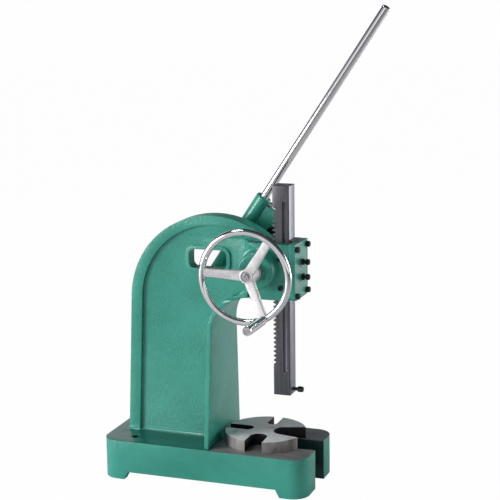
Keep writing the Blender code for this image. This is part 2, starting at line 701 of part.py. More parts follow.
def pinion_group():
    shaft_end = HUB_FACE + HUB_RECESS + GAP
    far_end = HUB_END + END_WASHER + END_NUT + 0.003
    core = PINION_RADIUS - 1.25 * RACK_MODULE - 0.0004
    neck = []
    if core < JOURNAL - 0.0006:
        stop = PINION_HALF + 0.0005
        neck = [(JOURNAL, stop), (core, stop), (core, -stop), (JOURNAL, -stop)]
    profile = [
        (0, far_end), (THREAD - 0.001, far_end), (THREAD, far_end - 0.001), (THREAD, HUB_END + 0.0006),
        (FAR_SEAT, HUB_END + 0.0006), (FAR_SEAT, RATCHET_Y - GAP), (JOURNAL, RATCHET_Y - GAP),
        *neck, (JOURNAL, HUB_BACK + GAP), (NEAR_SEAT, HUB_BACK + GAP), (NEAR_SEAT, shaft_end),
        (0.0035, shaft_end), (0.0035, shaft_end + 0.018), (0, shaft_end + 0.018),
    ]
    shaft = turned("pinion_shaft", profile, "Y", sides=36)
    gear = prism("pinion", pinion_line(), -PINION_HALF, PINION_HALF, "Y")
    join(shaft, gear)
    wheel_key = (HUB_BACK - 0.030, HUB_BACK - 0.006)
    ratchet_key = (RATCHET_Y + 0.001, RATCHET_Y + RATCHET - 0.001)
    cut(shaft, keyway("wheel_keyway", NEAR_SEAT, wheel_key[0] - GAP, wheel_key[1] + GAP, GAP))
    cut(shaft, keyway("ratchet_keyway", FAR_SEAT, ratchet_key[0] - GAP, ratchet_key[1] + GAP, GAP))
    shaft = finish_cuts(shaft)
    shaft.name = "pinion_shaft"
    place(shaft, BLACKENED, pinion_axis)
    place(keyway("wheel_key", NEAR_SEAT, *wheel_key, 0), BLACKENED, pinion_axis)
    place(keyway("ratchet_key", FAR_SEAT, *ratchet_key, 0), BLACKENED, pinion_axis)
    outer = PINION_BORE - GAP
    inner = JOURNAL + RUNNING
    spot = (PINION_X, 0, PINION_Z)
    near = ring("pinion_bush_near", outer, inner, NEAR_FACE, -PINION_HALF - 0.001, "Y", spot, 36)
    place(near, BRONZE)
    far = ring("pinion_bush_far", outer, inner, PINION_HALF + 0.001, FAR_FACE, "Y", spot, 36)
    place(far, BRONZE)
    collar = ring("shaft_collar", COLLAR_RADIUS, JOURNAL + GAP, COLLAR_BACK - COLLAR, COLLAR_BACK, "Y", sides=32)
    place(collar, MACHINED, pinion_axis)


# ---------------------------------------------------------------- handwheel
def torus(name, minor, major_sides=72, minor_sides=14):
    bpy.ops.mesh.primitive_torus_add(
        major_radius=WHEEL_RADIUS, minor_radius=minor, major_segments=major_sides, minor_segments=minor_sides,
        location=(0, WHEEL_Y, 0), rotation=(math.pi / 2, 0, 0),
    )
    obj = bpy.context.object
    obj.name = name
    return baked(obj)


def spoke(name, angle):
    """Tapered flat spoke from inside the hub to the rim, leaning forward with the wheel's dish."""
    bpy.ops.mesh.primitive_cube_add(size=1)
    obj = bpy.context.object
    obj.name = name
    hub_side = (HUB_RADIUS * 0.7, HUB_FACE + 0.002 + SPOKE_THICK / 2 + 0.001, SPOKE_ROOT)
    rim_side = (WHEEL_RADIUS, WHEEL_Y, SPOKE_TIP)
    for vertex in obj.data.vertices:
        along, deep, wide = vertex.co
        radius, middle, width = rim_side if along > 0 else hub_side
        vertex.co = (radius, middle + deep * SPOKE_THICK, wide * width)
    obj.data.transform(Matrix.Rotation(-math.radians(angle), 4, "Y"))
    return baked(obj)


def grip_spot():
    angle = math.radians(GRIP_ANGLE)
    return (WHEEL_RADIUS * math.cos(angle), 0, WHEEL_RADIUS * math.sin(angle))


def handwheel():
    hub_line = [
        (NEAR_SEAT + GAP, HUB_BACK), (HUB_RADIUS + 0.001, HUB_BACK), (HUB_RADIUS, HUB_FACE + 0.002),
        (HUB_RADIUS - 0.002, HUB_FACE), (HUB_RADIUS - 0.0040, HUB_FACE), (HUB_RADIUS - 0.0040, HUB_FACE + HUB_RECESS),
        (NEAR_SEAT + GAP, HUB_FACE + HUB_RECESS), (NEAR_SEAT + GAP, HUB_BACK),
    ]
    hub_core = cylinder("hub_core", HUB_RADIUS - 0.0040, HUB_FACE - 0.01, HUB_FACE + HUB_RECESS, "Y", sides=32)
    hub_bore = cylinder("hub_bore", NEAR_SEAT + GAP, HUB_FACE - 0.01, HUB_BACK + 0.01, "Y", sides=32)
    spider = turned("wheel_spider", hub_line, "Y", sides=32)
    for number in range(SPOKES):
        join(spider, spoke("spoke", GRIP_ANGLE + number * 360 / SPOKES))
    low = HUB_BACK - 0.030 - GAP
    cut(spider, hub_core, hub_bore, torus("rim_seat", WHEEL_RIM + GAP))
    cut(spider, keyway("hub_keyway", NEAR_SEAT, low, HUB_BACK + 0.01, GAP))
    spider = finish_cuts(spider)
    spider = largest_body(spider)
    spider.name = "wheel_spider"
    place(spider, SATIN, pinion_axis)
    rim = torus("wheel_rim", WHEEL_RIM)
    hole = cylinder("stud_hole", GRIP_STUD + GAP, WHEEL_Y - 0.02, WHEEL_Y + 0.02, "Y", grip_spot(), 16)
    rim = finish_cuts(cut(rim, hole))
    rim.name = "wheel_rim"
    place(rim, CHROME, pinion_axis)
    recess_floor = HUB_FACE + HUB_RECESS
    washer = ring("hub_washer", HUB_RADIUS - 0.0045, 0.0038, recess_floor - 0.002 - GAP, recess_floor - GAP, "Y", sides=28)
    place(washer, MACHINED, pinion_axis)
    seat = recess_floor - 0.002 - 2 * GAP
    screw_line = [
        (0, seat + 0.016), (0.0032, seat + 0.016), (0.0032, seat), (0.0060, seat), (0.0060, seat - 0.003),
        (0.0050, seat - 0.0038), (0, seat - 0.0038),
    ]
    place(turned("hub_screw", screw_line, "Y", sides=24), CHROME, pinion_axis)


def largest_body(obj):
    """Drops the loose bits that a cut leaves beyond the rim."""
    shape = bmesh.new()
    shape.from_mesh(obj.data)
    left = set(shape.verts)
    bodies = []
    while left:
        reached = {left.pop()}
        front = list(reached)
        while front:
            vertex = front.pop()
            for edge in vertex.link_edges:
                other = edge.other_vert(vertex)
                if other in left:
                    left.discard(other)
                    reached.add(other)
                    front.append(other)
        bodies.append(reached)
    keep = max(bodies, key=len)
    bmesh.ops.delete(shape, geom=[v for v in shape.verts if v not in keep], context="VERTS")
    shape.to_mesh(obj.data)
    shape.free()
    return obj


def crank_grip():
    """Grip that turns on a stud through the rim."""
    spot = grip_spot()
    axis = group("grip_axis", spot, parent=pinion_axis)
    back = WHEEL_Y + WHEEL_RIM + 0.001
    seat = WHEEL_Y - WHEEL_RIM - GAP
    shoulder = seat - GRIP_SHOULDER
    tip = shoulder - GRIP_LENGTH
    bore = GRIP_STUD + RUNNING
    stud_line = [
        (0, back), (GRIP_STUD, back), (GRIP_STUD, seat), (GRIP_RADIUS - 0.001, seat),
        (GRIP_RADIUS - 0.001, shoulder), (GRIP_STUD, shoulder), (GRIP_STUD, tip + 0.003),
        (0.0062, tip + 0.003), (0.0062, tip + 0.001), (0, tip + 0.001),
    ]
    stud = turned("grip_stud", stud_line, "Y", spot, 24)
    place(stud, CHROME, pinion_axis)
    start = shoulder - GAP
    end = 0.0035
    grip_line = [
        (bore, start), (GRIP_RADIUS - 0.0015, start), (GRIP_RADIUS, start - 0.002), (GRIP_RADIUS, tip + 0.002),
        (GRIP_RADIUS - 0.002, tip), (0.0066, tip), (0.0066, tip + end), (bore, tip + end), (bore, start),
    ]
    place(turned("crank_grip", grip_line, "Y", sides=28), CHROME, axis)


# ---------------------------------------------------------------- ratchet, pawl and lever
def ratchet_point(angle, radius):
    return (radius * math.cos(angle), radius * math.sin(angle))


def ratchet():
    """Saw-tooth wheel keyed to the shaft. One driving face is where the pawl's nose drops in."""
    root_radius = RATCHET_RADIUS - RATCHET_DEPTH
    first = math.radians(PAWL_PIVOT_ANGLE - PAWL_REACH) - LEVER_LEAN
    line = []
    for tooth in range(RATCHET_TEETH):
        start = first + tooth * 2 * math.pi / RATCHET_TEETH
        back = start + 0.72 * 2 * math.pi / RATCHET_TEETH
        line += [ratchet_point(start, RATCHET_RADIUS), ratchet_point(start + 0.01, root_radius)]
        line += [ratchet_point(back, RATCHET_RADIUS - 0.0008)]
    wheel = prism("ratchet_wheel", line, RATCHET_Y, RATCHET_Y + RATCHET, "Y")
    bore = cylinder("ratchet_bore", FAR_SEAT + GAP, RATCHET_Y - 0.01, RATCHET_Y + RATCHET + 0.01, "Y", sides=32)
    way = keyway("wheel_way", FAR_SEAT, RATCHET_Y - 0.01, RATCHET_Y + RATCHET + 0.01, GAP)
    wheel = finish_cuts(cut(wheel, bore, way))
    wheel.name = "ratchet_wheel"
    place(wheel, BLACKENED, pinion_axis)


def pawl_group():
    """Drop-in pawl on a pin through the lever's arm, stored lifted clear of the wheel."""
    angle = math.radians(PAWL_PIVOT_ANGLE)
    pivot = (PAWL_PIVOT_RADIUS * math.cos(angle), 0, PAWL_PIVOT_RADIUS * math.sin(angle))
    axis = group("pawl_axis", pivot, -math.radians(PAWL_LIFT), lever_axis)
    face = math.radians(PAWL_PIVOT_ANGLE - PAWL_REACH)
    root_radius = RATCHET_RADIUS - RATCHET_DEPTH
    clear = 0.0006
    tip = ratchet_point(face + 0.03, root_radius + clear + 0.0008)
    top = ratchet_point(face + 0.02, RATCHET_RADIUS + 0.004)
    heel = ratchet_point(face + 0.17, RATCHET_RADIUS + 0.0012)
    local = [(x - pivot[0], z - pivot[2]) for x, z in (heel, tip, top)]
    eye = 0.010
    lead = math.degrees(math.atan2(local[0][1], local[0][0]))
    outline = local + arc((0, 0), eye, lead + 65, lead + 285, 12)
    low = RATCHET_Y + 0.001
    high = RATCHET_Y + RATCHET - 0.001
    pawl = prism("pawl", outline, low, high, "Y")
    hole = cylinder("pawl_hole", PAWL_PIN + RUNNING, low - 0.01, high + 0.01, "Y", sides=20)
    pawl = finish_cuts(cut(pawl, hole))
    pawl.name = "pawl"
    place(pawl, BLACKENED, axis)
    end = ARM_Y + ARM
    pin_line = [
        (0, end + 0.005), (0.006, end + 0.005), (0.0065, end + 0.004), (0.0065, end + GAP), (PAWL_PIN, end + GAP),
        (PAWL_PIN, low), (0, low),
    ]
    place(turned("pawl_pin", pin_line, "Y", pivot, 20), BLACKENED, lever_axis)
    return pivot


def lever():
    """Socket casting with its arm and hub, the rod clamped in it, and the hub's fastenings."""
    pivot = pawl_group()
    spot = (-LEVER_OFFSET, SOCKET_Y, 0)
    socket = cylinder("lever_socket", SOCKET_RADIUS, SOCKET_LOW, SOCKET_HIGH, "Z", spot, 36)
    inner = -LEVER_OFFSET + 0.004
    shoulder = SOCKET_HIGH - SET_SCREW_DOWN - 0.006
    arm_line = [(inner, SOCKET_LOW + 0.068)] + arc((0, 0), LEVER_HUB + 0.012, 240, 400, 18)
    arm_line += [(-LEVER_OFFSET / 2, shoulder), (inner, shoulder)]
    arm = prism("arm", arm_line, ARM_Y, ARM_Y + ARM, "Y")
    hub = cylinder("lever_hub", LEVER_HUB, ARM_Y, HUB_END, "Y", sides=36)
    join(socket, arm, hub)
    bore = cylinder("rod_bore", ROD_RADIUS + GAP, SOCKET_LOW - 0.01, SOCKET_HIGH + 0.01, "Z", spot, 28)
    hub_bore = cylinder("hub_bore", FAR_SEAT + RUNNING, ARM_Y - 0.01, HUB_END + 0.01, "Y", sides=32)
    pin_hole = cylinder("pin_hole", PAWL_PIN + GAP, ARM_Y - 0.01, ARM_Y + ARM + 0.01, "Y", pivot, 20)
    set_spot = (0, SOCKET_Y, SOCKET_HIGH - SET_SCREW_DOWN)
    set_hole = cylinder("set_hole", SCREW_RADIUS + GAP, -LEVER_OFFSET, -LEVER_OFFSET + 0.04, "X", set_spot, 16)
    socket = finish_cuts(cut(socket, bore, hub_bore, pin_hole, set_hole))
    socket.name = "lever_socket"
    place(socket, GREEN, lever_axis)
    rod_low = SOCKET_LOW + 0.004
    rod_high = rod_low + ROD_LENGTH
    round_end = [(r, z) for r, z in arc((0, rod_high - ROD_RADIUS * 0.6), ROD_RADIUS, 90, 0, 5)]
    round_end = [(r, rod_high - ROD_RADIUS * 0.6 + (z - rod_high + ROD_RADIUS * 0.6) * 0.6) for r, z in round_end]
    round_end[0] = (0, round_end[0][1])
    rod = turned("lever_rod", round_end + [(ROD_RADIUS, rod_low), (0, rod_low)], "Z", spot, 28)
    place(rod, CHROME, lever_axis)
    inner_end = -LEVER_OFFSET + ROD_RADIUS + GAP
    outer_end = -LEVER_OFFSET + SOCKET_RADIUS
    set_line = [
        (0, outer_end + 0.009), (0.0045, outer_end + 0.009), (0.0052, outer_end + 0.008), (0.0052, outer_end + 0.002),
        (SCREW_RADIUS, outer_end + 0.002), (SCREW_RADIUS, inner_end), (0, inner_end),
    ]
    place(turned("lever_set_screw", set_line, "X", set_spot, 20), MACHINED, lever_axis)
    start = HUB_END + 2 * GAP
    washer = ring("end_washer", 0.018, THREAD + GAP, start + GAP, start + END_WASHER, "Y", sides=28)
    place(washer, MACHINED, pinion_axis)
    nut_start = start + END_WASHER + GAP
    nut = hexagon("end_nut", END_NUT_FLATS, THREAD + GAP, nut_start, nut_start + END_NUT - 0.001, "Y")
    nut.name = "end_nut"
    place(nut, BLACKENED, pinion_axis)


frame_casting()
table()
ram()
gib()
cover()
pinion_group()
handwheel()
crank_grip()
ratchet()
lever()

# ---------------------------------------------------------------- stand the press on the origin
bpy.context.view_layer.update()
corners = [
    piece.matrix_world @ Vector(corner)
    for piece in parts.objects if piece.type == "MESH"
    for corner in piece.bound_box
]
lowest = [min(corner[axis] for corner in corners) for axis in range(3)]
highest = [max(corner[axis] for corner in corners) for axis in range(3)]
root.location = (-(lowest[0] + highest[0]) / 2, -(lowest[1] + highest[1]) / 2, -lowest[2])
bpy.context.view_layer.update()
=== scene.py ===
"""Looks of a ratchet arbor press: enamelled C frame, slotted table, rack ram, handwheel and lever.

Sizes are in metres, measured from the middle of the base on the floor: +X towards the ram,
+Y towards the lever, +Z up. Every piece is moved to its place in the frame when it is finished.
"""

import math

import bmesh
import bpy
from mathutils import Matrix, Vector


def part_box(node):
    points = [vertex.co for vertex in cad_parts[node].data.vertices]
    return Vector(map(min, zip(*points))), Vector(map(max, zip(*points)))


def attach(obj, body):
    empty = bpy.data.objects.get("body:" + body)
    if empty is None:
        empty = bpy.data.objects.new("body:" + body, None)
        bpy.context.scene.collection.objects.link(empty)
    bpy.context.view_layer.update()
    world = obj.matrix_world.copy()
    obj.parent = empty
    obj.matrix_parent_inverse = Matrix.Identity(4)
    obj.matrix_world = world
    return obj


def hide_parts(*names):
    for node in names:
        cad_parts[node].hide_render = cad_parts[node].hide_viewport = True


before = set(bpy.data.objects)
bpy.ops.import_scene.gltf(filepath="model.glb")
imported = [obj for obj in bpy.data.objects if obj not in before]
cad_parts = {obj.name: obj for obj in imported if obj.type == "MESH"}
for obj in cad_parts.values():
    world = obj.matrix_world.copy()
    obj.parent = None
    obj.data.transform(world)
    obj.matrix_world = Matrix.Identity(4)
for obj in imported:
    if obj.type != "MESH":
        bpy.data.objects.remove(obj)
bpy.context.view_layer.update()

# ---------------------------------------------------------------- studio
# A white floor in a white room, lit by soft boxes at the left, the right, above and behind. For
# the pieces to reflect, the room is bright in front and dark overhead and behind the press.

casting_low, casting_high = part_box("frame_casting")
middle = Vector(((casting_low.x + casting_high.x) / 2, (casting_low.y + casting_high.y) / 2, casting_low.z))

CAMERA_PLACE = Vector((1.0975, -2.7690, 1.1091))
CAMERA_TURN = math.radians(20.122)
CAMERA_DOWN = math.radians(11.319)
CAMERA_ROLL = math.radians(-0.7357)
CAMERA_LENS = 99.418

aim = Vector((
    -math.sin(CAMERA_TURN) * math.cos(CAMERA_DOWN),
    math.cos(CAMERA_TURN) * math.cos(CAMERA_DOWN),
    -math.sin(CAMERA_DOWN),
))
level = Vector((math.cos(CAMERA_TURN), math.sin(CAMERA_TURN), 0))
upward = level.cross(aim)
across = level * math.cos(CAMERA_ROLL) + upward * math.sin(CAMERA_ROLL)
upright = upward * math.cos(CAMERA_ROLL) - level * math.sin(CAMERA_ROLL)

camera = bpy.data.objects.new("camera", bpy.data.cameras.new("camera"))
camera.data.lens = CAMERA_LENS
camera.data.sensor_width = 36
camera.data.clip_end = 60
camera_turn = Matrix((across, upright, -aim)).transposed().to_4x4()
camera.matrix_world = Matrix.Translation(middle + CAMERA_PLACE) @ camera_turn
bpy.context.scene.collection.objects.link(camera)
bpy.context.scene.camera = camera
bpy.context.scene.view_settings.view_transform = "Standard"


def soft_box(name, place, target, size, power):
    """A square area light that faces a point."""
    light = bpy.data.lights.new(name, "AREA")
    light.size = size
    light.energy = power
    box = bpy.data.objects.new(name, light)
    box.location = middle + Vector(place)
    box.rotation_euler = (Vector(target) - Vector(place)).to_track_quat("-Z", "Y").to_euler()
    bpy.context.scene.collection.objects.link(box)


soft_box("left_box", (-2.75, -2.55, 1.0), (0, 0, 0.35), 1.6, 95)
soft_box("right_box", (2.3, 2.1, 0.6), (0.1, 0, 0.3), 1.8, 56)
soft_box("top_box", (-0.9, -0.5, 2.4), (0, 0, 0.3), 0.5, 13)
soft_box("back_box", (-1.9, 2.2, 1.3), (0, 0, 0.3), 1.6, 5)

floor_mesh = bpy.data.meshes.new("floor")
reach = 14.0
floor_mesh.from_pydata(
    [(-reach, -reach, 0), (reach, -reach, 0), (reach, reach, 0), (-reach, reach, 0)], [], [(0, 1, 2, 3)]
)
floor = bpy.data.objects.new("floor", floor_mesh)
floor.location = (middle.x, middle.y, casting_low.z - 0.0002)
bpy.context.scene.collection.objects.link(floor)


def wired(tree, *links):
    for source, target in links:
        tree.links.new(source, target)


def new_node(tree, kind, **values):
    """Adds a shader node and sets its inputs, which are named with _ for a space."""
    node = tree.nodes.new("ShaderNode" + kind)
    for name, value in values.items():
        node.inputs[name.replace("_", " ")].default_value = value
    return node


def sum_node(tree, factor, plus=None):
    """Multiplies by a factor, then adds a number or what is wired to its third input."""
    node = new_node(tree, "Math")
    node.operation = "MULTIPLY_ADD"
    node.inputs[1].default_value = factor
    if plus is not None:
        node.inputs[2].default_value = plus
    return node


def ramp_node(tree, low, low_colour, high, high_colour):
    """Runs from one colour to another between two values."""
    node = new_node(tree, "ValToRGB")
    for element, place, colour in zip(node.color_ramp.elements, (low, high), (low_colour, high_colour)):
        element.position = place
        element.color = (*colour, 1)
    return node


def plain_material(name):
    material = bpy.data.materials.new(name)
    material.use_nodes = True
    return material


paper = plain_material("floor_paper")
paper_tree = paper.node_tree
paper_shader = paper_tree.nodes["Principled BSDF"]
paper_shader.inputs["Roughness"].default_value = 0.9
paper_shader.inputs["Base Color"].default_value = (0.86, 0.86, 0.86, 1)
paper_white = new_node(paper_tree, "Emission")
paper_path = new_node(paper_tree, "LightPath")
paper_seen = sum_node(paper_tree, 0.985, 0)
paper_mix = new_node(paper_tree, "MixShader")
wired(
    paper_tree,
    (paper_path.outputs["Is Camera Ray"], paper_seen.inputs[0]),
    (paper_seen.outputs[0], paper_mix.inputs[0]),
    (paper_shader.outputs[0], paper_mix.inputs[1]),
    (paper_white.outputs[0], paper_mix.inputs[2]),
    (paper_mix.outputs[0], paper_tree.nodes["Material Output"].inputs[0]),
)
floor.data.materials.append(paper)

world = bpy.data.worlds.new("room")
bpy.context.scene.world = world
world.use_nodes = True
sky = world.node_tree
sky.nodes.clear()
sky_way = new_node(sky, "TexCoord")
sky_split = new_node(sky, "SeparateXYZ")
sky_height = ramp_node(sky, 0.10, (0.9, 0.9, 0.92), 0.55, (0.10, 0.10, 0.11))
sky_shift = sum_node(sky, 0.5, 0.5)
sky_depth = ramp_node(sky, 0.20, (1, 1, 1), 0.62, (0.22, 0.23, 0.24))
sky_both = new_node(sky, "Mix")
sky_both.data_type = "RGBA"
sky_both.blend_type = "MULTIPLY"
sky_both.inputs["Factor"].default_value = 1
sky_room = new_node(sky, "Background", Strength=0.95)
sky_white = new_node(sky, "Background", Color=(0.992, 0.992, 0.992, 1))
sky_path = new_node(sky, "LightPath")
sky_mix = new_node(sky, "MixShader")
sky_out = new_node(sky, "OutputWorld")
wired(
    sky,
    (sky_way.outputs["Generated"], sky_split.inputs[0]),
    (sky_split.outputs["Z"], sky_height.inputs[0]),
    (sky_split.outputs["Y"], sky_shift.inputs[0]),
    (sky_shift.outputs[0], sky_depth.inputs[0]),
    (sky_height.outputs[0], sky_both.inputs["A"]),
    (sky_depth.outputs[0], sky_both.inputs["B"]),
    (sky_both.outputs["Result"], sky_room.inputs["Color"]),
    (sky_path.outputs["Is Camera Ray"], sky_mix.inputs[0]),
    (sky_room.outputs[0], sky_mix.inputs[1]),
    (sky_white.outputs[0], sky_mix.inputs[2]),
    (sky_mix.outputs[0], sky_out.inputs[0]),
)

# ---------------------------------------------------------------- frame casting
# The base, column, arch and head are one iron casting, sprayed with green hammered enamel. Its level
# tops are painted darker, and the walls of the base's slot near black, as painted shade. The pad,
# bore, channel and cover seat are milled bare.

BASE_LENGTH = 0.480
BASE_WIDTH = 0.218
PAD_HEIGHT = 0.0882
PAINTED_HEIGHT = 0.0892
PAD_START = 0.020
BASE_CORNER = 0.037
BASE_WALL = 0.016
BASE_TOP = 0.022
FEET = ((-0.185, -0.001), (0.183, -0.001), (0.173, 0.0176), (-0.175, 0.0176))
BASE_SLOT_X = 0.165
BASE_SLOT_RADIUS = 0.0315
BOLT_HOLE = (-0.172, 0.071, 0.007)

WEB = 0.024
RIM = 0.040
COLUMN_REAR = -0.209
ARCH = (0.003, 0.396)
ARCH_RADIUS = 0.198
ARCH_END = 48.8
PANEL = (0.0065, 0.398)
PANEL_RADIUS = 0.175
PANEL_REAR = -0.183
PANEL_FOOT = 0.0992
THROAT = (0.092, 0.350)
THROAT_RADIUS = 0.072
THROAT_FOOT = 0.016
FLANGE = 0.0098
FLANGE_FOOT_HALF = 0.101
FLANGE_TOP_HALF = 0.078

HEAD_LOW = 0.421
HEAD_TOP = 0.544
HEAD_HALF = 0.045
HEAD_BACK = 0.07165
HEAD_FULL = 0.10165
HEAD_FRONT = 0.18605
NEAR_FACE = -0.088
FAR_FACE = 0.058
BOSS_RADIUS = 0.041
BORE_RADIUS = 0.0245
WINDOW_LOW = (-0.055, 0.474)
WINDOW_HIGH = (0.034, 0.517)
WINDOW_CORNER = 0.013
WINDOW_BORDER = 0.008

RAM_X = 0.1607
RAM_HALF = 0.01905
PINION = (0.124225, 0.491)


def arc(centre, radius, start, end, steps):
    """Points along an arc between two angles in degrees."""
    turns = [math.radians(start + (end - start) * i / steps) for i in range(steps + 1)]
    return [(centre[0] + radius * math.cos(t), centre[1] + radius * math.sin(t)) for t in turns]


def round_rectangle(low, high, radius, steps=8):
    """Outline of a rectangle with round corners."""
    line = arc((high[0] - radius, low[1] + radius), radius, -90, 0, steps)
    line += arc((high[0] - radius, high[1] - radius), radius, 0, 90, steps)
    line += arc((low[0] + radius, high[1] - radius), radius, 90, 180, steps)
    return line + arc((low[0] + radius, low[1] + radius), radius, 180, 270, steps)


def made_mesh(obj):
    """The piece as it now looks, as one plain mesh with its turn and place in its points."""
    bpy.context.view_layer.update()
    graph = bpy.context.evaluated_depsgraph_get()
    mesh = bpy.data.meshes.new_from_object(obj.evaluated_get(graph))
    mesh.transform(obj.matrix_world)
    name = obj.name
    bpy.data.objects.remove(obj)
    piece = bpy.data.objects.new(name, mesh)
    bpy.context.scene.collection.objects.link(piece)
    shape = bmesh.new()
    shape.from_mesh(mesh)
    bmesh.ops.remove_doubles(shape, verts=shape.verts, dist=0.000002)
    bmesh.ops.recalc_face_normals(shape, faces=shape.faces)
    shape.to_mesh(mesh)
    shape.free()
    return piece


LAID_ALONG = {"X": (math.pi / 2, 0, math.pi / 2), "Y": (math.pi / 2, 0, 0), "Z": (0, 0, 0)}


def slab(name, line, low, high, axis):
    """A flat outline given thickness along an axis."""
    curve = bpy.data.curves.new(name, "CURVE")
    curve.dimensions = "2D"
    curve.fill_mode = "BOTH"
    curve.extrude = (high - low) / 2
    spline = curve.splines.new("POLY")
    spline.points.add(len(line) - 1)
    for point, (u, v) in zip(spline.points, line):
        point.co = (u, v, 0, 1)
    spline.use_cyclic_u = True
    obj = bpy.data.objects.new(name, curve)
    bpy.context.scene.collection.objects.link(obj)
    obj.rotation_euler = LAID_ALONG[axis]
    obj.location["XYZ".index(axis)] = (high + low) / 2
    return made_mesh(obj)


def block(name, low, high):
    """A plain box between two corners, used to cut."""
    return slab(name, [low[:2], (high[0], low[1]), high[:2], (low[0], high[1])], low[2], high[2], "Z")


def lathe(name, profile, axis, centre=(0, 0, 0), sides=64):
    """A turned piece: its profile is (radius, place along the axis), down its outer side."""
    mesh = bpy.data.meshes.new(name)
    mesh.from_pydata([(r, 0, h) for r, h in profile], [(i, i + 1) for i in range(len(profile) - 1)], [])
    obj = bpy.data.objects.new(name, mesh)
    bpy.context.scene.collection.objects.link(obj)
    spin = obj.modifiers.new("spin", "SCREW")
    spin.steps = sides
    spin.render_steps = sides
    spin.use_merge_vertices = True
    spin.merge_threshold = 0.000001
    quarter = math.pi / 2
    turn = {"X": Matrix.Rotation(quarter, 4, "Y"), "Y": Matrix.Rotation(-quarter, 4, "X"), "Z": Matrix()}
    obj.matrix_world = Matrix.Translation(centre) @ turn[axis]
    return made_mesh(obj)


def rod(name, radius, low, high, axis, centre=(0, 0, 0), sides=48):
    return lathe(name, [(0, high), (radius, high), (radius, low), (0, low)], axis, centre, sides)


def rounded(piece, width, segments=3, angle=40):
    """Rounds the edges of a piece that are sharper than the angle."""
    bevel = piece.modifiers.new("round_edges", "BEVEL")
    bevel.width = width
    bevel.segments = segments
    bevel.limit_method = "ANGLE"
    bevel.angle_limit = math.radians(angle)
    bevel.use_clamp_overlap = True
    return made_mesh(piece)


def joined(piece, *tools, how="UNION"):
    """Joins closed shapes to a piece, or cuts them out of it, and removes them."""
    for tool in tools:
        change = piece.modifiers.new(tool.name, "BOOLEAN")
        change.operation = how
        change.solver = "EXACT"
        change.object = tool
    result = made_mesh(piece)
    for tool in tools:
        bpy.data.objects.remove(tool)
    return result


def cut(piece, *tools):
    return joined(piece, *tools, how="DIFFERENCE")


def in_place(piece, name, finish, body, *nodes, smooth=32):
    """Finishes a piece: puts it in its place in the frame, gives it its finish and lets it ride."""
    piece.name = name
    piece.data.name = name
    piece.data.transform(Matrix.Translation(middle))
    if finish is not None:
        piece.data.materials.clear()
        piece.data.materials.append(finish)
    piece.data.shade_smooth()
    piece.data.set_sharp_from_angle(angle=math.radians(smooth))
    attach(piece, body)
    if nodes:
        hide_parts(*nodes)
    return piece


def throat_line(extra):
    """Front face of the throat flange, from the base up and round to the head."""
    return [(THROAT_FOOT - extra, PAD_HEIGHT - 0.012)] + arc(THROAT, THROAT_RADIUS + extra, 180, 90, 22)


def cast_base():
    """Slab on four feet, hollow below, with a slot through its front end."""
    half = (BASE_LENGTH / 2, BASE_WIDTH / 2)
    base = slab("base", round_rectangle((-half[0], -half[1]), half, BASE_CORNER, 12), 0, PAINTED_HEIGHT, "Z")
    feet = slab("feet", FEET, -half[1] - 0.01, half[1] + 0.01, "Y")
    slot_line = [(half[0] + 0.01, BASE_SLOT_RADIUS)] + arc((BASE_SLOT_X, 0), BASE_SLOT_RADIUS, 90, 270, 28)
    slot = slab("slot", slot_line + [(half[0] + 0.01, -BASE_SLOT_RADIUS)], -0.01, PAINTED_HEIGHT + 0.01, "Z")
    pad_end = (half[0] + 0.01, half[1] + 0.01, PAINTED_HEIGHT + 0.01)
    pad = block("pad", (PAD_START, -half[1] - 0.01, PAD_HEIGHT), pad_end)
    base = rounded(cut(base, feet, slot, pad), 0.0024, 3, 50)
    inside = BASE_SLOT_RADIUS + BASE_WALL
    edge = (half[0] - BASE_WALL, half[1] - BASE_WALL)
    line = [(-edge[0], -edge[1]), (edge[0], -edge[1]), (edge[0], -inside)]
    line += arc((BASE_SLOT_X, 0), inside, 270, 90, 20)
    line += [(edge[0], inside), (edge[0], edge[1]), (-edge[0], edge[1])]
    hollow = rounded(slab("hollow", line, -0.03, PAD_HEIGHT - BASE_TOP, "Z"), 0.006, 3, 50)
    return cut(base, hollow)


def cast_column():
    """Web with its thick outer rim: a plate with a shallow panel sunk in each side."""
    low = PAD_HEIGHT - 0.012
    line = [(COLUMN_REAR - 0.001, low)] + arc(ARCH, ARCH_RADIUS, 180, ARCH_END, 56)
    line += [(line[-1][0], HEAD_LOW + 0.02), (THROAT[0], HEAD_LOW + 0.010)]
    line += throat_line(FLANGE / 2)[::-1]
    plate = rounded(slab("column", line, -RIM / 2, RIM / 2, "Y"), 0.0032, 4, 60)
    panel = [(PANEL_REAR, PAINTED_HEIGHT + 0.001)] + arc(PANEL, PANEL_RADIUS, 180, 56, 44)
    panel += [(HEAD_FULL + 0.004, HEAD_TOP - 0.012), (HEAD_FULL + 0.004, HEAD_LOW - 0.03)]
    panel += [(THROAT_FOOT + 0.006, THROAT[1]), (THROAT_FOOT + 0.006, PAINTED_HEIGHT + 0.001)]
    for start, end in ((-RIM, -WEB / 2), (WEB / 2, RIM)):
        plate = cut(plate, rounded(slab("panel", panel, start, end, "Y"), 0.0035, 4, 60))
    return rounded(plate, 0.0013, 2, 45)


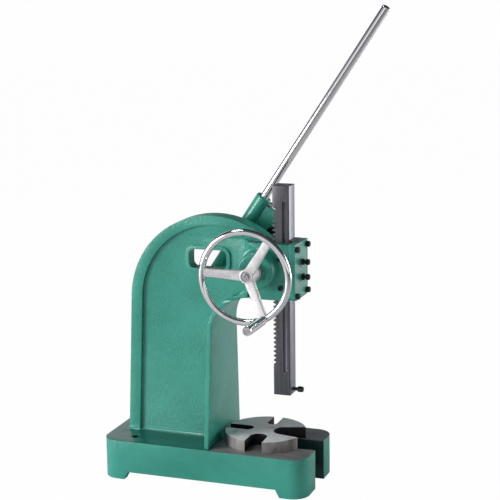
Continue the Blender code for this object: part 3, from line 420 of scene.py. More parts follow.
def skirt(name, low, high, radius):
    """Hollow fillet round the foot of an upright, where it runs out into the top of the base."""
    rings = [(radius, PAINTED_HEIGHT - 0.004)]
    for step in range(9):
        turn = step / 8 * math.pi / 2
        rings.append((radius * (1 - math.sin(turn)) - 0.0002, PAINTED_HEIGHT + radius * (1 - math.cos(turn))))
    shape = bmesh.new()
    loops = []
    for grow, height in rings:
        ends = ((low[0] - grow, low[1] - grow), (high[0] + grow, high[1] + grow))
        line = round_rectangle(*ends, 0.003 + max(grow, 0), 5)
        loops.append([shape.verts.new((u, v, height)) for u, v in line])
    for below, above in zip(loops, loops[1:]):
        for i in range(len(below)):
            j = (i + 1) % len(below)
            shape.faces.new((below[i], below[j], above[j], above[i]))
    shape.faces.new(loops[0][::-1])
    shape.faces.new(loops[-1])
    mesh = bpy.data.meshes.new(name)
    shape.to_mesh(mesh)
    shape.free()
    obj = bpy.data.objects.new(name, mesh)
    bpy.context.scene.collection.objects.link(obj)
    return obj


def cast_flange():
    """Wide plate that faces the throat, narrowing upwards and curling under the head."""
    band = throat_line(0) + throat_line(FLANGE)[::-1]
    flange = slab("flange", band, -FLANGE_FOOT_HALF - 0.01, FLANGE_FOOT_HALF + 0.01, "Y")
    rise = HEAD_LOW - THROAT[1]
    edge = [(FLANGE_FOOT_HALF, PAD_HEIGHT - 0.02), (FLANGE_TOP_HALF, THROAT[1])]
    for step in range(1, 15):
        turn = step / 14 * math.pi / 2
        inward = (FLANGE_TOP_HALF - HEAD_HALF) * (1 - math.cos(turn))
        edge.append((FLANGE_TOP_HALF - inward, THROAT[1] + rise * math.sin(turn)))
    edge.append((HEAD_HALF - 0.001, HEAD_LOW + 0.03))
    sides = edge + [(-u, v) for u, v in reversed(edge)]
    shape = slab("flange_shape", sides, THROAT_FOOT - 0.05, THROAT[0] + 0.05, "X")
    flange = joined(flange, shape, how="INTERSECT")
    return rounded(flange, 0.0030, 4, 50)


def cast_head():
    """Block round the ram's channel, swelling smoothly out of the web."""
    half = []
    narrow = WEB / 2 - 0.001
    for step in range(17):
        share = step / 16
        swell = (1 - math.cos(math.pi * share)) / 2
        half.append((HEAD_BACK + (HEAD_FULL - HEAD_BACK) * share, narrow + (HEAD_HALF - narrow) * swell))
    half.append((HEAD_FRONT, HEAD_HALF))
    line = [(HEAD_BACK - 0.012, -narrow)] + [(u, -v) for u, v in half]
    line += half[::-1] + [(HEAD_BACK - 0.012, narrow)]
    return rounded(slab("head", line, HEAD_LOW, HEAD_TOP, "Z"), 0.0030, 3, 50)


def cast_boss(name, face, sign):
    """Bearing boss with a full round outer edge and a hollow fillet where it leaves the head."""
    seat = sign * HEAD_HALF
    stretch = abs(face) - HEAD_HALF
    edge = min(0.008, stretch * 0.45)
    root = min(0.007, stretch * 0.4)
    profile = [(0, face)]
    profile += [(u, face + sign * v) for u, v in arc((BOSS_RADIUS - edge, -edge), edge, 90, 0, 8)]
    profile += [(BOSS_RADIUS + root + u, seat + sign * (root + v)) for u, v in arc((0, 0), root, 180, 270, 6)]
    profile += [(BOSS_RADIUS + root, seat - sign * 0.004), (0, seat - sign * 0.004)]
    if sign < 0:
        profile = profile[::-1]
    return lathe(name, profile, "Y", (PINION[0], 0, PINION[1]), 72)


def cast_window_border():
    low = [a - WINDOW_BORDER for a in WINDOW_LOW]
    high = [a + WINDOW_BORDER for a in WINDOW_HIGH]
    line = round_rectangle(low, high, WINDOW_CORNER + WINDOW_BORDER, 8)
    return rounded(slab("border", line, -WEB / 2 - 0.004, WEB / 2 + 0.004, "Y"), 0.0022, 3, 60)


casting = joined(cast_base(), cast_column(), cast_flange())
casting = joined(
    casting,
    skirt("web_foot", (-0.200, -WEB / 2), (THROAT_FOOT + FLANGE / 2, WEB / 2), PANEL_FOOT - PAINTED_HEIGHT),
    skirt("rim_foot", (COLUMN_REAR, -RIM / 2), (PANEL_REAR, RIM / 2), 0.008),
)
casting = joined(
    casting, cast_head(), cast_window_border(),
    cast_boss("near_boss", NEAR_FACE, -1), cast_boss("far_boss", FAR_FACE, 1),
)
opening = slab("opening", round_rectangle(WINDOW_LOW, WINDOW_HIGH, WINDOW_CORNER, 8), -RIM, RIM, "Y")
channel = block("channel", (RAM_X - RAM_HALF - 0.0003, -RAM_HALF - 0.0003, HEAD_LOW - 0.06),
                (HEAD_FRONT + 0.02, RAM_HALF + 0.0003, HEAD_TOP + 0.02))
bore = rod("bore", BORE_RADIUS, NEAR_FACE - 0.01, FAR_FACE + 0.01, "Y", (PINION[0], 0, PINION[1]), 64)
bolt_holes = [
    rod("bolt_hole", BOLT_HOLE[2], 0.03, 0.10, "Z", (BOLT_HOLE[0], side * BOLT_HOLE[1], 0), 28)
    for side in (-1, 1)
]
casting = cut(casting, opening, channel, bore, *bolt_holes)
SCOOP_SIZE = (0.026, 0.017, 0.0088)
SCOOP_PLACE = (0.066, 0.030, 0.4275)
scoops = []
for side in (-1, 1):
    bpy.ops.mesh.primitive_uv_sphere_add(segments=48, ring_count=24)
    scoop = bpy.context.object
    scoop.name = "scoop"
    scoop.scale = SCOOP_SIZE
    scoop.rotation_euler = (0, math.radians(-28), math.radians(18 * side))
    scoop.location = (SCOOP_PLACE[0], side * SCOOP_PLACE[1], SCOOP_PLACE[2])
    scoops.append(made_mesh(scoop))
casting = cut(casting, *scoops)


def enamel_nodes(name, light, dark, peel):
    """Sprayed enamel: a slightly uneven coat, with the small dimples of a hammered finish."""
    material = plain_material(name)
    tree = material.node_tree
    shader = tree.nodes["Principled BSDF"]
    way = new_node(tree, "TexCoord")
    cloud = new_node(tree, "TexNoise", Scale=9, Detail=4)
    fleck = new_node(tree, "TexNoise", Scale=420, Detail=2)
    blend = sum_node(tree, 0.75)
    ramp = ramp_node(tree, 0.62, dark, 1, light)
    dimple = new_node(tree, "TexVoronoi")
    dimple.feature = "SMOOTH_F1"
    dimple.inputs["Scale"].default_value = 170
    dimple.inputs["Smoothness"].default_value = 0.8
    bump = new_node(tree, "Bump", Strength=peel, Distance=0.0011)
    soften = new_node(tree, "Bevel", Radius=0.0022)
    soften.samples = 6
    gloss = new_node(tree, "MapRange", To_Min=0.26, To_Max=0.40)
    wired(
        tree,
        (way.outputs["Object"], cloud.inputs["Vector"]),
        (way.outputs["Object"], fleck.inputs["Vector"]),
        (way.outputs["Object"], dimple.inputs["Vector"]),
        (fleck.outputs["Fac"], blend.inputs[0]),
        (cloud.outputs["Fac"], blend.inputs[2]),
        (blend.outputs[0], ramp.inputs[0]),
        (ramp.outputs[0], shader.inputs["Base Color"]),
        (cloud.outputs["Fac"], gloss.inputs["Value"]),
        (gloss.outputs[0], shader.inputs["Roughness"]),
        (dimple.outputs["Distance"], bump.inputs["Height"]),
        (soften.outputs[0], bump.inputs["Normal"]),
        (bump.outputs[0], shader.inputs["Normal"]),
    )
    shader.inputs["Coat Weight"].default_value = 0.35
    shader.inputs["Coat Roughness"].default_value = 0.14
    return material


enamel = enamel_nodes("hammered_enamel", (0.040, 0.350, 0.270), (0.022, 0.260, 0.190), 0.45)
# A darker copy of the enamel for the level tops of the casting: painted shade.
pooled_enamel = enamel_nodes("pooled_enamel", (0.020, 0.140, 0.112), (0.012, 0.100, 0.080), 0.25)
# A near-black copy of the enamel for the walls of the base's slot: painted shade in the hollow.
thin_enamel = enamel_nodes("thin_enamel", (0.008, 0.050, 0.042), (0.004, 0.022, 0.020), 0.45)


def ground_nodes(name, pale, deep, lines, stain, roughness=(0.30, 0.46), metallic=0.9):
    """Machined iron or steel: fine lines along one direction, clouded grey, a few brown stains."""
    material = plain_material(name)
    tree = material.node_tree
    shader = tree.nodes["Principled BSDF"]
    shader.inputs["Metallic"].default_value = metallic
    way = new_node(tree, "TexCoord")
    stretch = new_node(tree, "Mapping", Scale=lines)
    streak = new_node(tree, "TexNoise", Scale=1, Detail=6, Roughness=0.65)
    cloud = new_node(tree, "TexNoise", Scale=30, Detail=5)
    grey = ramp_node(tree, 0.30, deep, 0.70, pale)
    rust = ramp_node(tree, 0.56, (0, 0, 0), 0.74, (stain, stain, stain))
    brown = new_node(tree, "Mix")
    brown.data_type = "RGBA"
    brown.inputs["B"].default_value = (0.16, 0.11, 0.09, 1)
    gloss = new_node(tree, "MapRange", To_Min=roughness[0], To_Max=roughness[1])
    bump = new_node(tree, "Bump", Strength=0.25, Distance=0.0002)
    wired(
        tree,
        (way.outputs["Object"], stretch.inputs["Vector"]),
        (stretch.outputs["Vector"], streak.inputs["Vector"]),
        (way.outputs["Object"], cloud.inputs["Vector"]),
        (streak.outputs["Fac"], grey.inputs[0]),
        (grey.outputs[0], brown.inputs["A"]),
        (cloud.outputs["Fac"], rust.inputs[0]),
        (rust.outputs[0], brown.inputs["Factor"]),
        (brown.outputs["Result"], shader.inputs["Base Color"]),
        (streak.outputs["Fac"], gloss.inputs["Value"]),
        (gloss.outputs[0], shader.inputs["Roughness"]),
        (streak.outputs["Fac"], bump.inputs["Height"]),
        (bump.outputs[0], shader.inputs["Normal"]),
    )
    return material


milled_iron = ground_nodes(
    "milled_iron", (0.34, 0.345, 0.345), (0.14, 0.15, 0.15), (14, 160, 14), 0.8, (0.34, 0.50), 0.2
)

NEAR = 0.0002
casting.data.materials.clear()
for finish in (enamel, milled_iron, thin_enamel, pooled_enamel):
    casting.data.materials.append(finish)
for face in casting.data.polygons:
    centre = face.center
    faces_up = face.normal.z > 0.9
    in_head = centre.z > HEAD_LOW
    from_bore = Vector((centre.x - PINION[0], centre.z - PINION[1])).length
    # Walls of the base's slot get the near-black enamel as painted shade.
    in_slot = centre.z < PAD_HEIGHT - 0.003 and centre.x > BASE_SLOT_X - BASE_SLOT_RADIUS - 0.001
    in_slot = in_slot and abs(centre.y) < BASE_SLOT_RADIUS + 0.0005 and abs(face.normal.z) < 0.5
    on_pad = abs(centre.z - PAD_HEIGHT) < NEAR and faces_up and centre.x > PAD_START
    in_channel = abs(centre.y) < RAM_HALF + 0.0005 and centre.x > RAM_X - RAM_HALF - 0.0005 and in_head
    in_bore = from_bore < BORE_RADIUS + 0.0005 and abs(face.normal.y) < 0.5
    on_seat = centre.x > HEAD_FRONT - NEAR and in_head
    # Level tops get the darker enamel as painted shade.
    on_top = faces_up and min(abs(centre.z - PAINTED_HEIGHT), abs(centre.z - HEAD_TOP)) < NEAR
    bare = on_pad or in_channel or in_bore or on_seat
    face.material_index = 2 if in_slot else 1 if bare else 3 if on_top else 0
in_place(casting, "frame_casting_enamelled", None, "frame", "frame_casting")


# ---------------------------------------------------------------- table
# A round iron plate, ground on top and turned on its edge, that turns by hand on a pin in the base.
# Its four slots, each of a different width, are left rough from the mould. The ground top is painted
# near white, partly its bright finish and partly painted light from above; the slot walls and the
# underside are painted near black, partly the dark cast skin and partly painted shade.

TABLE_CENTRE = (0.115, 0)
TABLE_RADIUS = 0.090
TABLE_SLOTS = (
    (180.0, 0.0140, 0.0430, 0.0),
    (-89.0, 0.0197, 0.0524, 0.0),
    (3.0, 0.0260, 0.0450, 14.0),
    (90.0, 0.0110, 0.0470, 0.0),
)
table_low, table_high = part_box("table_plate")
table = rod("table", TABLE_RADIUS, table_low.z, table_high.z, "Z", sides=192)
slots = [rod("pin_socket", 0.0083, table_low.z - 0.01, table_low.z + 0.0155, "Z")]
for direction, radius, reach, flare in TABLE_SLOTS:
    line = arc((reach, 0), radius, 90 + flare, 270 - flare, 32)
    out = TABLE_RADIUS + 0.01
    spread = (out - line[0][0]) * math.tan(math.radians(flare))
    line = [(out, line[0][1] + spread)] + line + [(out, -line[0][1] - spread)]
    slot = slab("slot", line, table_low.z - 0.01, table_high.z + 0.01, "Z")
    slot.data.transform(Matrix.Rotation(math.radians(direction), 4, "Z"))
    slots.append(slot)
table = rounded(cut(table, *slots), 0.0010, 3, 40)
table.data.transform(Matrix.Translation((*TABLE_CENTRE, 0)))

# Near white for the ground top: partly its bright finish, partly painted light from above.
ground_iron = ground_nodes(
    "ground_iron", (0.95, 0.94, 0.96), (0.76, 0.75, 0.77), (30, 260, 30), 0.4, (0.34, 0.50), 0.15
)
# Near black for the slot walls and underside: partly the dark cast skin, partly painted shade.
mould_iron = ground_nodes(
    "mould_iron", (0.045, 0.045, 0.045), (0.015, 0.015, 0.016), (90, 90, 90), 0.1, (0.6, 0.8)
)
turned_edge = ground_nodes(
    "turned_edge", (0.40, 0.385, 0.38), (0.22, 0.20, 0.19), (60, 60, 24), 0.9, (0.36, 0.52), 0.25
)
table.data.materials.clear()
for finish in (ground_iron, mould_iron, turned_edge):
    table.data.materials.append(finish)
for face in table.data.polygons:
    centre = face.center - Vector((*TABLE_CENTRE, 0))
    upright_wall = abs(face.normal.z) < 0.3
    shaded_cast_faces = (upright_wall and centre.xy.length < TABLE_RADIUS - 0.003) or face.normal.z < -0.5
    face.material_index = 1 if shaded_cast_faces else 2 if upright_wall else 0
for corner in table.data.vertices:
    corner.co.z -= casting_low.z
in_place(table, "table_plate_ground", None, "table", "table_plate")

# ---------------------------------------------------------------- ram
# A square steel bar with rack teeth cut up its back, blackened; its front face is paler, a painted
# reflection of the bright room at the right. Dog-pointed screws run in its groove; its nose is bored
# for a tool held by a small screw.

RAM_GROOVE = (0.008, 0.0075, 0.0035)
RACK_MODULE = 0.003175
RACK_SPACES = 35
TOP_SPACE = 0.412
PRESSURE = math.radians(25)
BACKLASH = 0.0003
NOSE_BORE = (0.0095, 0.036)
SCREW = 0.0038


def set_out(name, unit, places, turns, finish):
    """Copies of one piece, each at its own place and turn, made into a single piece by a node tree."""
    carrier = bpy.data.meshes.new(name)
    carrier.from_pydata(places, [], [])
    turn = carrier.attributes.new("turn", "FLOAT_VECTOR", "POINT")
    for i, angles in enumerate(turns):
        turn.data[i].vector = angles
    obj = bpy.data.objects.new(name, carrier)
    bpy.context.scene.collection.objects.link(obj)
    tree = bpy.data.node_groups.new(name + "_copies", "GeometryNodeTree")
    tree.is_modifier = True
    tree.interface.new_socket("Places", in_out="INPUT", socket_type="NodeSocketGeometry")
    unit_socket = tree.interface.new_socket("Unit", in_out="INPUT", socket_type="NodeSocketObject")
    finish_socket = tree.interface.new_socket("Finish", in_out="INPUT", socket_type="NodeSocketMaterial")
    tree.interface.new_socket("Copies", in_out="OUTPUT", socket_type="NodeSocketGeometry")
    start = tree.nodes.new("NodeGroupInput")
    info = tree.nodes.new("GeometryNodeObjectInfo")
    info.inputs["As Instance"].default_value = True
    angle = tree.nodes.new("GeometryNodeInputNamedAttribute")
    angle.data_type = "FLOAT_VECTOR"
    angle.inputs["Name"].default_value = "turn"
    points = tree.nodes.new("GeometryNodeMeshToPoints")
    copy = tree.nodes.new("GeometryNodeInstanceOnPoints")
    whole = tree.nodes.new("GeometryNodeRealizeInstances")
    coat = tree.nodes.new("GeometryNodeSetMaterial")
    stop = tree.nodes.new("NodeGroupOutput")
    wired(
        tree,
        (start.outputs["Places"], points.inputs["Mesh"]),
        (start.outputs["Unit"], info.inputs["Object"]),
        (points.outputs["Points"], copy.inputs["Points"]),
        (info.outputs["Geometry"], copy.inputs["Instance"]),
        (angle.outputs["Attribute"], copy.inputs["Rotation"]),
        (copy.outputs["Instances"], whole.inputs["Geometry"]),
        (whole.outputs["Geometry"], coat.inputs["Geometry"]),
        (start.outputs["Finish"], coat.inputs["Material"]),
        (coat.outputs["Geometry"], stop.inputs[0]),
    )
    copies = obj.modifiers.new("copies", "NODES")
    copies.node_group = tree
    copies[unit_socket.identifier] = unit
    copies[finish_socket.identifier] = finish
    result = made_mesh(obj)
    bpy.data.objects.remove(unit)
    return result


ram_low, ram_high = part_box("ram_rack")
nose = ram_low.z - casting_low.z
top = ram_high.z - casting_low.z
pitch = math.pi * RACK_MODULE
mouth = pitch / 4 + RACK_MODULE * math.tan(PRESSURE) + BACKLASH / 2
root = pitch / 4 - 1.25 * RACK_MODULE * math.tan(PRESSURE) + BACKLASH / 2
depth = 2.25 * RACK_MODULE
gap_line = [(-0.004, -mouth - 0.0018), (0, -mouth), (depth, -root)]
gap_line += [(u, -v) for u, v in reversed(gap_line)]
space = slab("space", gap_line, -RAM_HALF - 0.005, RAM_HALF + 0.005, "Y")
space = rounded(space, 0.0005, 2, 30)
oxide = plain_material("black_oxide")
spaces = set_out(
    "rack_spaces", space,
    [(RAM_X - RAM_HALF, 0, nose + TOP_SPACE - i * pitch) for i in range(RACK_SPACES)],
    [(0, 0, 0)] * RACK_SPACES, oxide,
)
bar = [(RAM_X + u * RAM_HALF, v * RAM_HALF) for u, v in ((-1, -1), (1, -1), (1, 1), (-1, 1))]
ram = rounded(slab("ram", bar, nose, top, "Z"), 0.0011, 3, 40)
groove_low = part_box("side_guide_screw_2")[0].z - casting_low.z + 0.0055 - 0.1891 - 0.004
groove_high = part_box("side_guide_screw_1")[0].z - casting_low.z + 0.0055 + 0.08645 + 0.033
groove = block(
    "groove", (RAM_X + RAM_GROOVE[1] - RAM_GROOVE[0] / 2, -RAM_HALF - 0.01, groove_low),
    (RAM_X + RAM_GROOVE[1] + RAM_GROOVE[0] / 2, -RAM_HALF + RAM_GROOVE[2], groove_high),
)
nose_bore = rod("nose_bore", NOSE_BORE[0], nose - 0.01, nose + NOSE_BORE[1], "Z", (RAM_X, 0, 0))
nose_hole = rod("nose_hole", SCREW + 0.0002, RAM_X, RAM_X + RAM_HALF + 0.01, "X", (0, 0, nose + 0.0112), 24)
ram = cut(ram, spaces, rounded(groove, 0.0008, 2, 40), nose_bore, nose_hole)


def dark_nodes(material, pale, deep, metallic, roughness, lines):
    """Blackened steel: a thin oxide skin over fine machining lines, rubbed brighter in streaks."""
    tree = material.node_tree
    shader = tree.nodes["Principled BSDF"]
    shader.inputs["Metallic"].default_value = metallic
    way = new_node(tree, "TexCoord")
    stretch = new_node(tree, "Mapping", Scale=lines)
    streak = new_node(tree, "TexNoise", Scale=1, Detail=5)
    speck = new_node(tree, "TexNoise", Scale=260, Detail=3)
    blend = sum_node(tree, 0.35)
    tone = ramp_node(tree, 0.40, deep, 0.95, pale)
    gloss = new_node(tree, "MapRange", To_Min=roughness[0], To_Max=roughness[1])
    bump = new_node(tree, "Bump", Strength=0.2, Distance=0.0002)
    wired(
        tree,
        (way.outputs["Object"], stretch.inputs["Vector"]),
        (stretch.outputs["Vector"], streak.inputs["Vector"]),
        (way.outputs["Object"], speck.inputs["Vector"]),
        (speck.outputs["Fac"], blend.inputs[0]),
        (streak.outputs["Fac"], blend.inputs[2]),
        (blend.outputs[0], tone.inputs[0]),
        (tone.outputs[0], shader.inputs["Base Color"]),
        (streak.outputs["Fac"], gloss.inputs["Value"]),
        (gloss.outputs[0], shader.inputs["Roughness"]),
        (speck.outputs["Fac"], bump.inputs["Height"]),
        (bump.outputs[0], shader.inputs["Normal"]),
    )
    return material


DRAWN = (300, 300, 6)
dark_nodes(oxide, (0.060, 0.058, 0.062), (0.012, 0.012, 0.013), 0.6, (0.26, 0.38), (40, 40, 40))
ram_steel = dark_nodes(
    plain_material("ram_steel"), (0.150, 0.150, 0.165), (0.070, 0.070, 0.080), 0.75, (0.34, 0.46), DRAWN
)
# A paler copy of the ram's steel for its front face: painted reflection.
rubbed_steel = dark_nodes(
    plain_material("rubbed_steel"), (0.300, 0.305, 0.350), (0.190, 0.195, 0.230), 0.6, (0.34, 0.50), DRAWN
)
ram.data.materials.clear()
ram.data.materials.append(ram_steel)
ram.data.materials.append(rubbed_steel)
# The front face gets the paler steel as painted reflection.
for face in ram.data.polygons:
    face.material_index = int(face.normal.x > 0.9 and face.center.x > RAM_X + RAM_HALF - 0.0002)
in_place(ram, "ram_with_rack", None, "ram", "ram_rack")

NOSE_SCREW_UP = 0.0112
nose_screw_low, nose_screw_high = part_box("ram_nose_screw")
head_end = nose_screw_high.x - middle.x
point_end = nose_screw_low.x - middle.x
nose_screw = lathe(
    "nose_screw",
    [(0, head_end), (0.0052, head_end), (0.0062, head_end - 0.0014), (0.0064, head_end - 0.006),
     (0.0064, head_end - 0.0112), (0.0058, head_end - 0.012), (SCREW, head_end - 0.012),
     (SCREW, point_end), (0, point_end)],
    "X", (0, 0, nose + NOSE_SCREW_UP), 40,
)
in_place(nose_screw, "nose_screw_black", oxide, "ram", "ram_nose_screw")

gib_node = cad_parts["front_gib"]
gib_node.data.materials.clear()
gib_node.data.materials.append(oxide)

# ---------------------------------------------------------------- cover and its screws
# A thick iron cover on the front of the head, enamelled with it, that keeps the gib and the ram
# in the channel. Four knurled cap screws hold it and two locked screws in bosses push the gib.

COVER_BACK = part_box("cover_plate")[0].x - middle.x
COVER_FACE = 0.20035
TOP_CORNER = 0.003
LOW_CORNER = 0.010
line = arc((-HEAD_HALF + TOP_CORNER, HEAD_TOP - TOP_CORNER), TOP_CORNER, 90, 180, 5)
line += arc((-HEAD_HALF + LOW_CORNER, HEAD_LOW + LOW_CORNER), LOW_CORNER, 180, 270, 10)
line += arc((HEAD_HALF - LOW_CORNER, HEAD_LOW + LOW_CORNER), LOW_CORNER, 270, 360, 10)
line += arc((HEAD_HALF - TOP_CORNER, HEAD_TOP - TOP_CORNER), TOP_CORNER, 0, 90, 5)
cover = rounded(slab("cover", line, COVER_BACK, COVER_FACE, "X"), 0.0022, 4, 50)
gib_heights = (PINION[1] + 0.009, PINION[1] - 0.024)
for height in gib_heights:
    pad = rod("gib_pad", 0.011, COVER_BACK + 0.002, COVER_FACE + 0.0015, "X", (0, 0, height), 48)
    cover = joined(cover, rounded(pad, 0.0009, 3, 50))
cover_heights = (HEAD_TOP - 0.0115, HEAD_LOW + 0.010)
cover_spots = [(side * 0.036, height) for height in cover_heights for side in (-1, 1)]
holes = [
    rod("hole", SCREW + 0.0002, COVER_BACK - 0.01, COVER_FACE + 0.01, "X", (0, *spot), 24)
    for spot in cover_spots + [(0, height) for height in gib_heights]
]
cover = cut(cover, *holes)
in_place(cover, "cover_enamelled", enamel, "frame", "cover_plate")


CAP = 0.0065
CAP_HIGH = 0.008


def cap_screw(radius, head, length):
    """Knurled socket head cap screw along +X, its head's underside at zero."""
    ridges = 30
    line = []
    for i in range(2 * ridges):
        out = radius if i % 2 else radius - 0.00032
        line.append((out * math.cos(math.pi * i / ridges), out * math.sin(math.pi * i / ridges)))
    knurl = slab("knurl", line, 0, head, "X")
    form = lathe(
        "form",
        [(0, head), (radius - 0.0012, head), (radius + 0.0002, head - 0.0013), (radius + 0.0002, 0.0004),
         (radius - 0.0004, 0), (0, 0)],
        "X", sides=48,
    )
    screw = joined(knurl, form, how="INTERSECT")
    key_line = [(0, head + 0.002), (0.0031, head + 0.002), (0.0031, head * 0.45), (0, head * 0.40)]
    socket = lathe("socket", key_line, "X", sides=6)
    shank = rod("shank", SCREW, -length, head * 0.3, "X", sides=32)
    return joined(cut(screw, socket), shank)


screw_low, screw_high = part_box("cover_screw_1")
cover_screws = set_out(
    "cover_screws", cap_screw(CAP, CAP_HIGH, screw_high.x - screw_low.x - CAP_HIGH),
    [(screw_high.x - middle.x - CAP_HIGH, *spot) for spot in cover_spots],
    [(0.4 * i, 0, 0) for i in range(4)], oxide,
)
cover_nodes = [f"cover_screw_{i}" for i in range(1, 5)]
in_place(cover_screws, "cover_cap_screws", oxide, "frame", *cover_nodes, smooth=25)

screw_low, screw_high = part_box("gib_adjust_screw_1")
gib_screws = set_out(
    "gib_screws", cap_screw(CAP, CAP_HIGH, screw_high.x - screw_low.x - CAP_HIGH),
    [(screw_high.x - middle.x - CAP_HIGH, 0, height) for height in gib_heights],
    [(0.3, 0, 0), (0.9, 0, 0)], oxide,
)
gib_nodes = ("gib_adjust_screw_1", "gib_adjust_screw_2")
in_place(gib_screws, "gib_adjusting_screws", oxide, "frame", *gib_nodes, smooth=25)


def hexagon_nut(flats, bore, thick):
    """Nut along +X with its corners turned off, its seat at zero."""
    corner = flats / math.sqrt(3)
    blank = lathe("blank", [(0, thick), (corner, thick), (corner, 0), (0, 0)], "X", sides=6)
    shoulder = thick - (corner - flats / 2) * 0.6
    form = lathe(
        "form",
        [(0, thick), (flats / 2 - 0.0002, thick), (corner + 0.0002, shoulder), (corner + 0.0002, 0), (0, 0)],
        "X", sides=48,
    )
    nut = joined(blank, form, how="INTERSECT")
    return cut(nut, rod("bore", bore, -0.001, thick + 0.001, "X", sides=32))


nut_low, nut_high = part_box("gib_lock_nut_1")
lock_nuts = set_out(
    "lock_nuts", hexagon_nut(0.013, SCREW + 0.0002, nut_high.x - nut_low.x),
    [(nut_low.x - middle.x, 0, height) for height in gib_heights], [(0.25, 0, 0), (0.7, 0, 0)], oxide,
)
in_place(lock_nuts, "gib_lock_nuts", oxide, "frame", "gib_lock_nut_1", "gib_lock_nut_2", smooth=25)

GUIDE_HIGH = 0.006
guide_nodes = ("side_guide_screw_1", "side_guide_screw_2")
guide_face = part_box("side_guide_screw_1")[0].y - middle.y
guide_heights = [sum(corner.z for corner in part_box(node)) / 2 - casting_low.z for node in guide_nodes]
guide_screws = set_out(
    "guide_screws", cap_screw(0.0055, GUIDE_HIGH, 0.0255),
    [(RAM_X + RAM_GROOVE[1], guide_face + GUIDE_HIGH, height) for height in guide_heights],
    [(0, 0, -math.pi / 2)] * 2, oxide,
)
guide_points = [
    rod("dog", 0.003, -RAM_HALF - 0.0015, -RAM_HALF + 0.003, "Y", (RAM_X + RAM_GROOVE[1], 0, height), 24)
    for height in guide_heights
]
guide_screws = joined(guide_screws, *guide_points)
in_place(guide_screws, "side_guide_screws", oxide, "frame", *guide_nodes, smooth=25)

# ---------------------------------------------------------------- pinion shaft and bearings
# The pinion and its shaft are one forging, running in bronze sleeves pressed into the head. The
# near sleeve's end was sprayed over with the casting; a turned collar spaces the wheel off it.

bronze = ground_nodes("bearing_bronze", (0.42, 0.26, 0.10), (0.30, 0.17, 0.06), (60, 60, 60), 0.2)
turned_steel = ground_nodes(
    "turned_steel", (0.60, 0.60, 0.61), (0.44, 0.44, 0.45), (20, 500, 20), 0.05, (0.22, 0.34)
)
for node, finish in (
    ("pinion_shaft", oxide), ("wheel_key", oxide), ("ratchet_key", oxide), ("pinion_bush_near", enamel),
    ("pinion_bush_far", bronze), ("ratchet_wheel", oxide), ("pawl", oxide), ("pawl_pin", oxide),
    ("end_nut", oxide), ("end_washer", turned_steel), ("table_pivot_pin", oxide), ("grip_stud", turned_steel),
    ("hub_washer", turned_steel), ("lever_set_screw", turned_steel),
):
    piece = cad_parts[node]
    piece.data.materials.clear()
    piece.data.materials.append(finish)

collar_low, collar_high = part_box("shaft_collar")
collar_back = collar_high.y - middle.y
collar_front = collar_low.y - middle.y
COLLAR = 0.019
COLLAR_BORE = 0.0162
collar = lathe(
    "collar",
    [(COLLAR_BORE, collar_back), (COLLAR - 0.0005, collar_back), (COLLAR, collar_back - 0.0005),
     (COLLAR, collar_front + 0.001), (COLLAR - 0.001, collar_front), (COLLAR_BORE, collar_front),
     (COLLAR_BORE, collar_back)],
    "Y", (PINION[0], 0, PINION[1]), 72,
)
in_place(collar, "turned_collar", turned_steel, "pinion", "shaft_collar")

# ---------------------------------------------------------------- handwheel
# An aluminium spider, left as it came from the mould, with a chromed steel tube for its rim. It is
# keyed to the shaft and held by a screw and washer in its hub; a chromed grip turns on the rim.

HUB = 0.0155
HUB_FACE = -0.1399
HUB_BACK = collar_front - 0.0003
HUB_RECESS = 0.004
WHEEL_RADIUS = 0.0956
WHEEL_TUBE = 0.0073
WHEEL_Y = -0.1479
GRIP_ANGLE = -64
WHEEL_CENTRE = (PINION[0], 0, PINION[1])


def wheel_spoke():
    """One spoke along +X: an oval bar, broad at the hub, narrowing to a waist and leaning forward."""
    shape = bmesh.new()
    loops = []
    for step in range(19):
        share = step / 18
        radius = 0.006 + (WHEEL_RADIUS - WHEEL_TUBE * 0.55 - 0.006) * share
        wide = 0.0088 + 0.0030 * (1 - share) ** 1.5 + 0.0010 * max(0, share - 0.86) / 0.14
        thick = 0.0052 + 0.0010 * (1 - share)
        place = HUB_FACE + 0.0085 + (WHEEL_Y - HUB_FACE - 0.0085) * share
        loop = []
        for i in range(28):
            turn = 2 * math.pi * i / 28
            c, d = math.cos(turn), math.sin(turn)
            forward = thick * math.copysign(abs(c) ** 0.5, c)
            aside = wide * math.copysign(abs(d) ** 0.5, d)
            loop.append(shape.verts.new((radius, place + forward, aside)))
        loops.append(loop)
    for inner, outer in zip(loops, loops[1:]):
        for i in range(28):
            j = (i + 1) % 28
            shape.faces.new((inner[i], inner[j], outer[j], outer[i]))
    shape.faces.new(loops[0])
    shape.faces.new(loops[-1][::-1])
    mesh = bpy.data.meshes.new("spoke")
    shape.to_mesh(mesh)
    shape.free()
    obj = bpy.data.objects.new("spoke", mesh)
    bpy.context.scene.collection.objects.link(obj)
    return obj


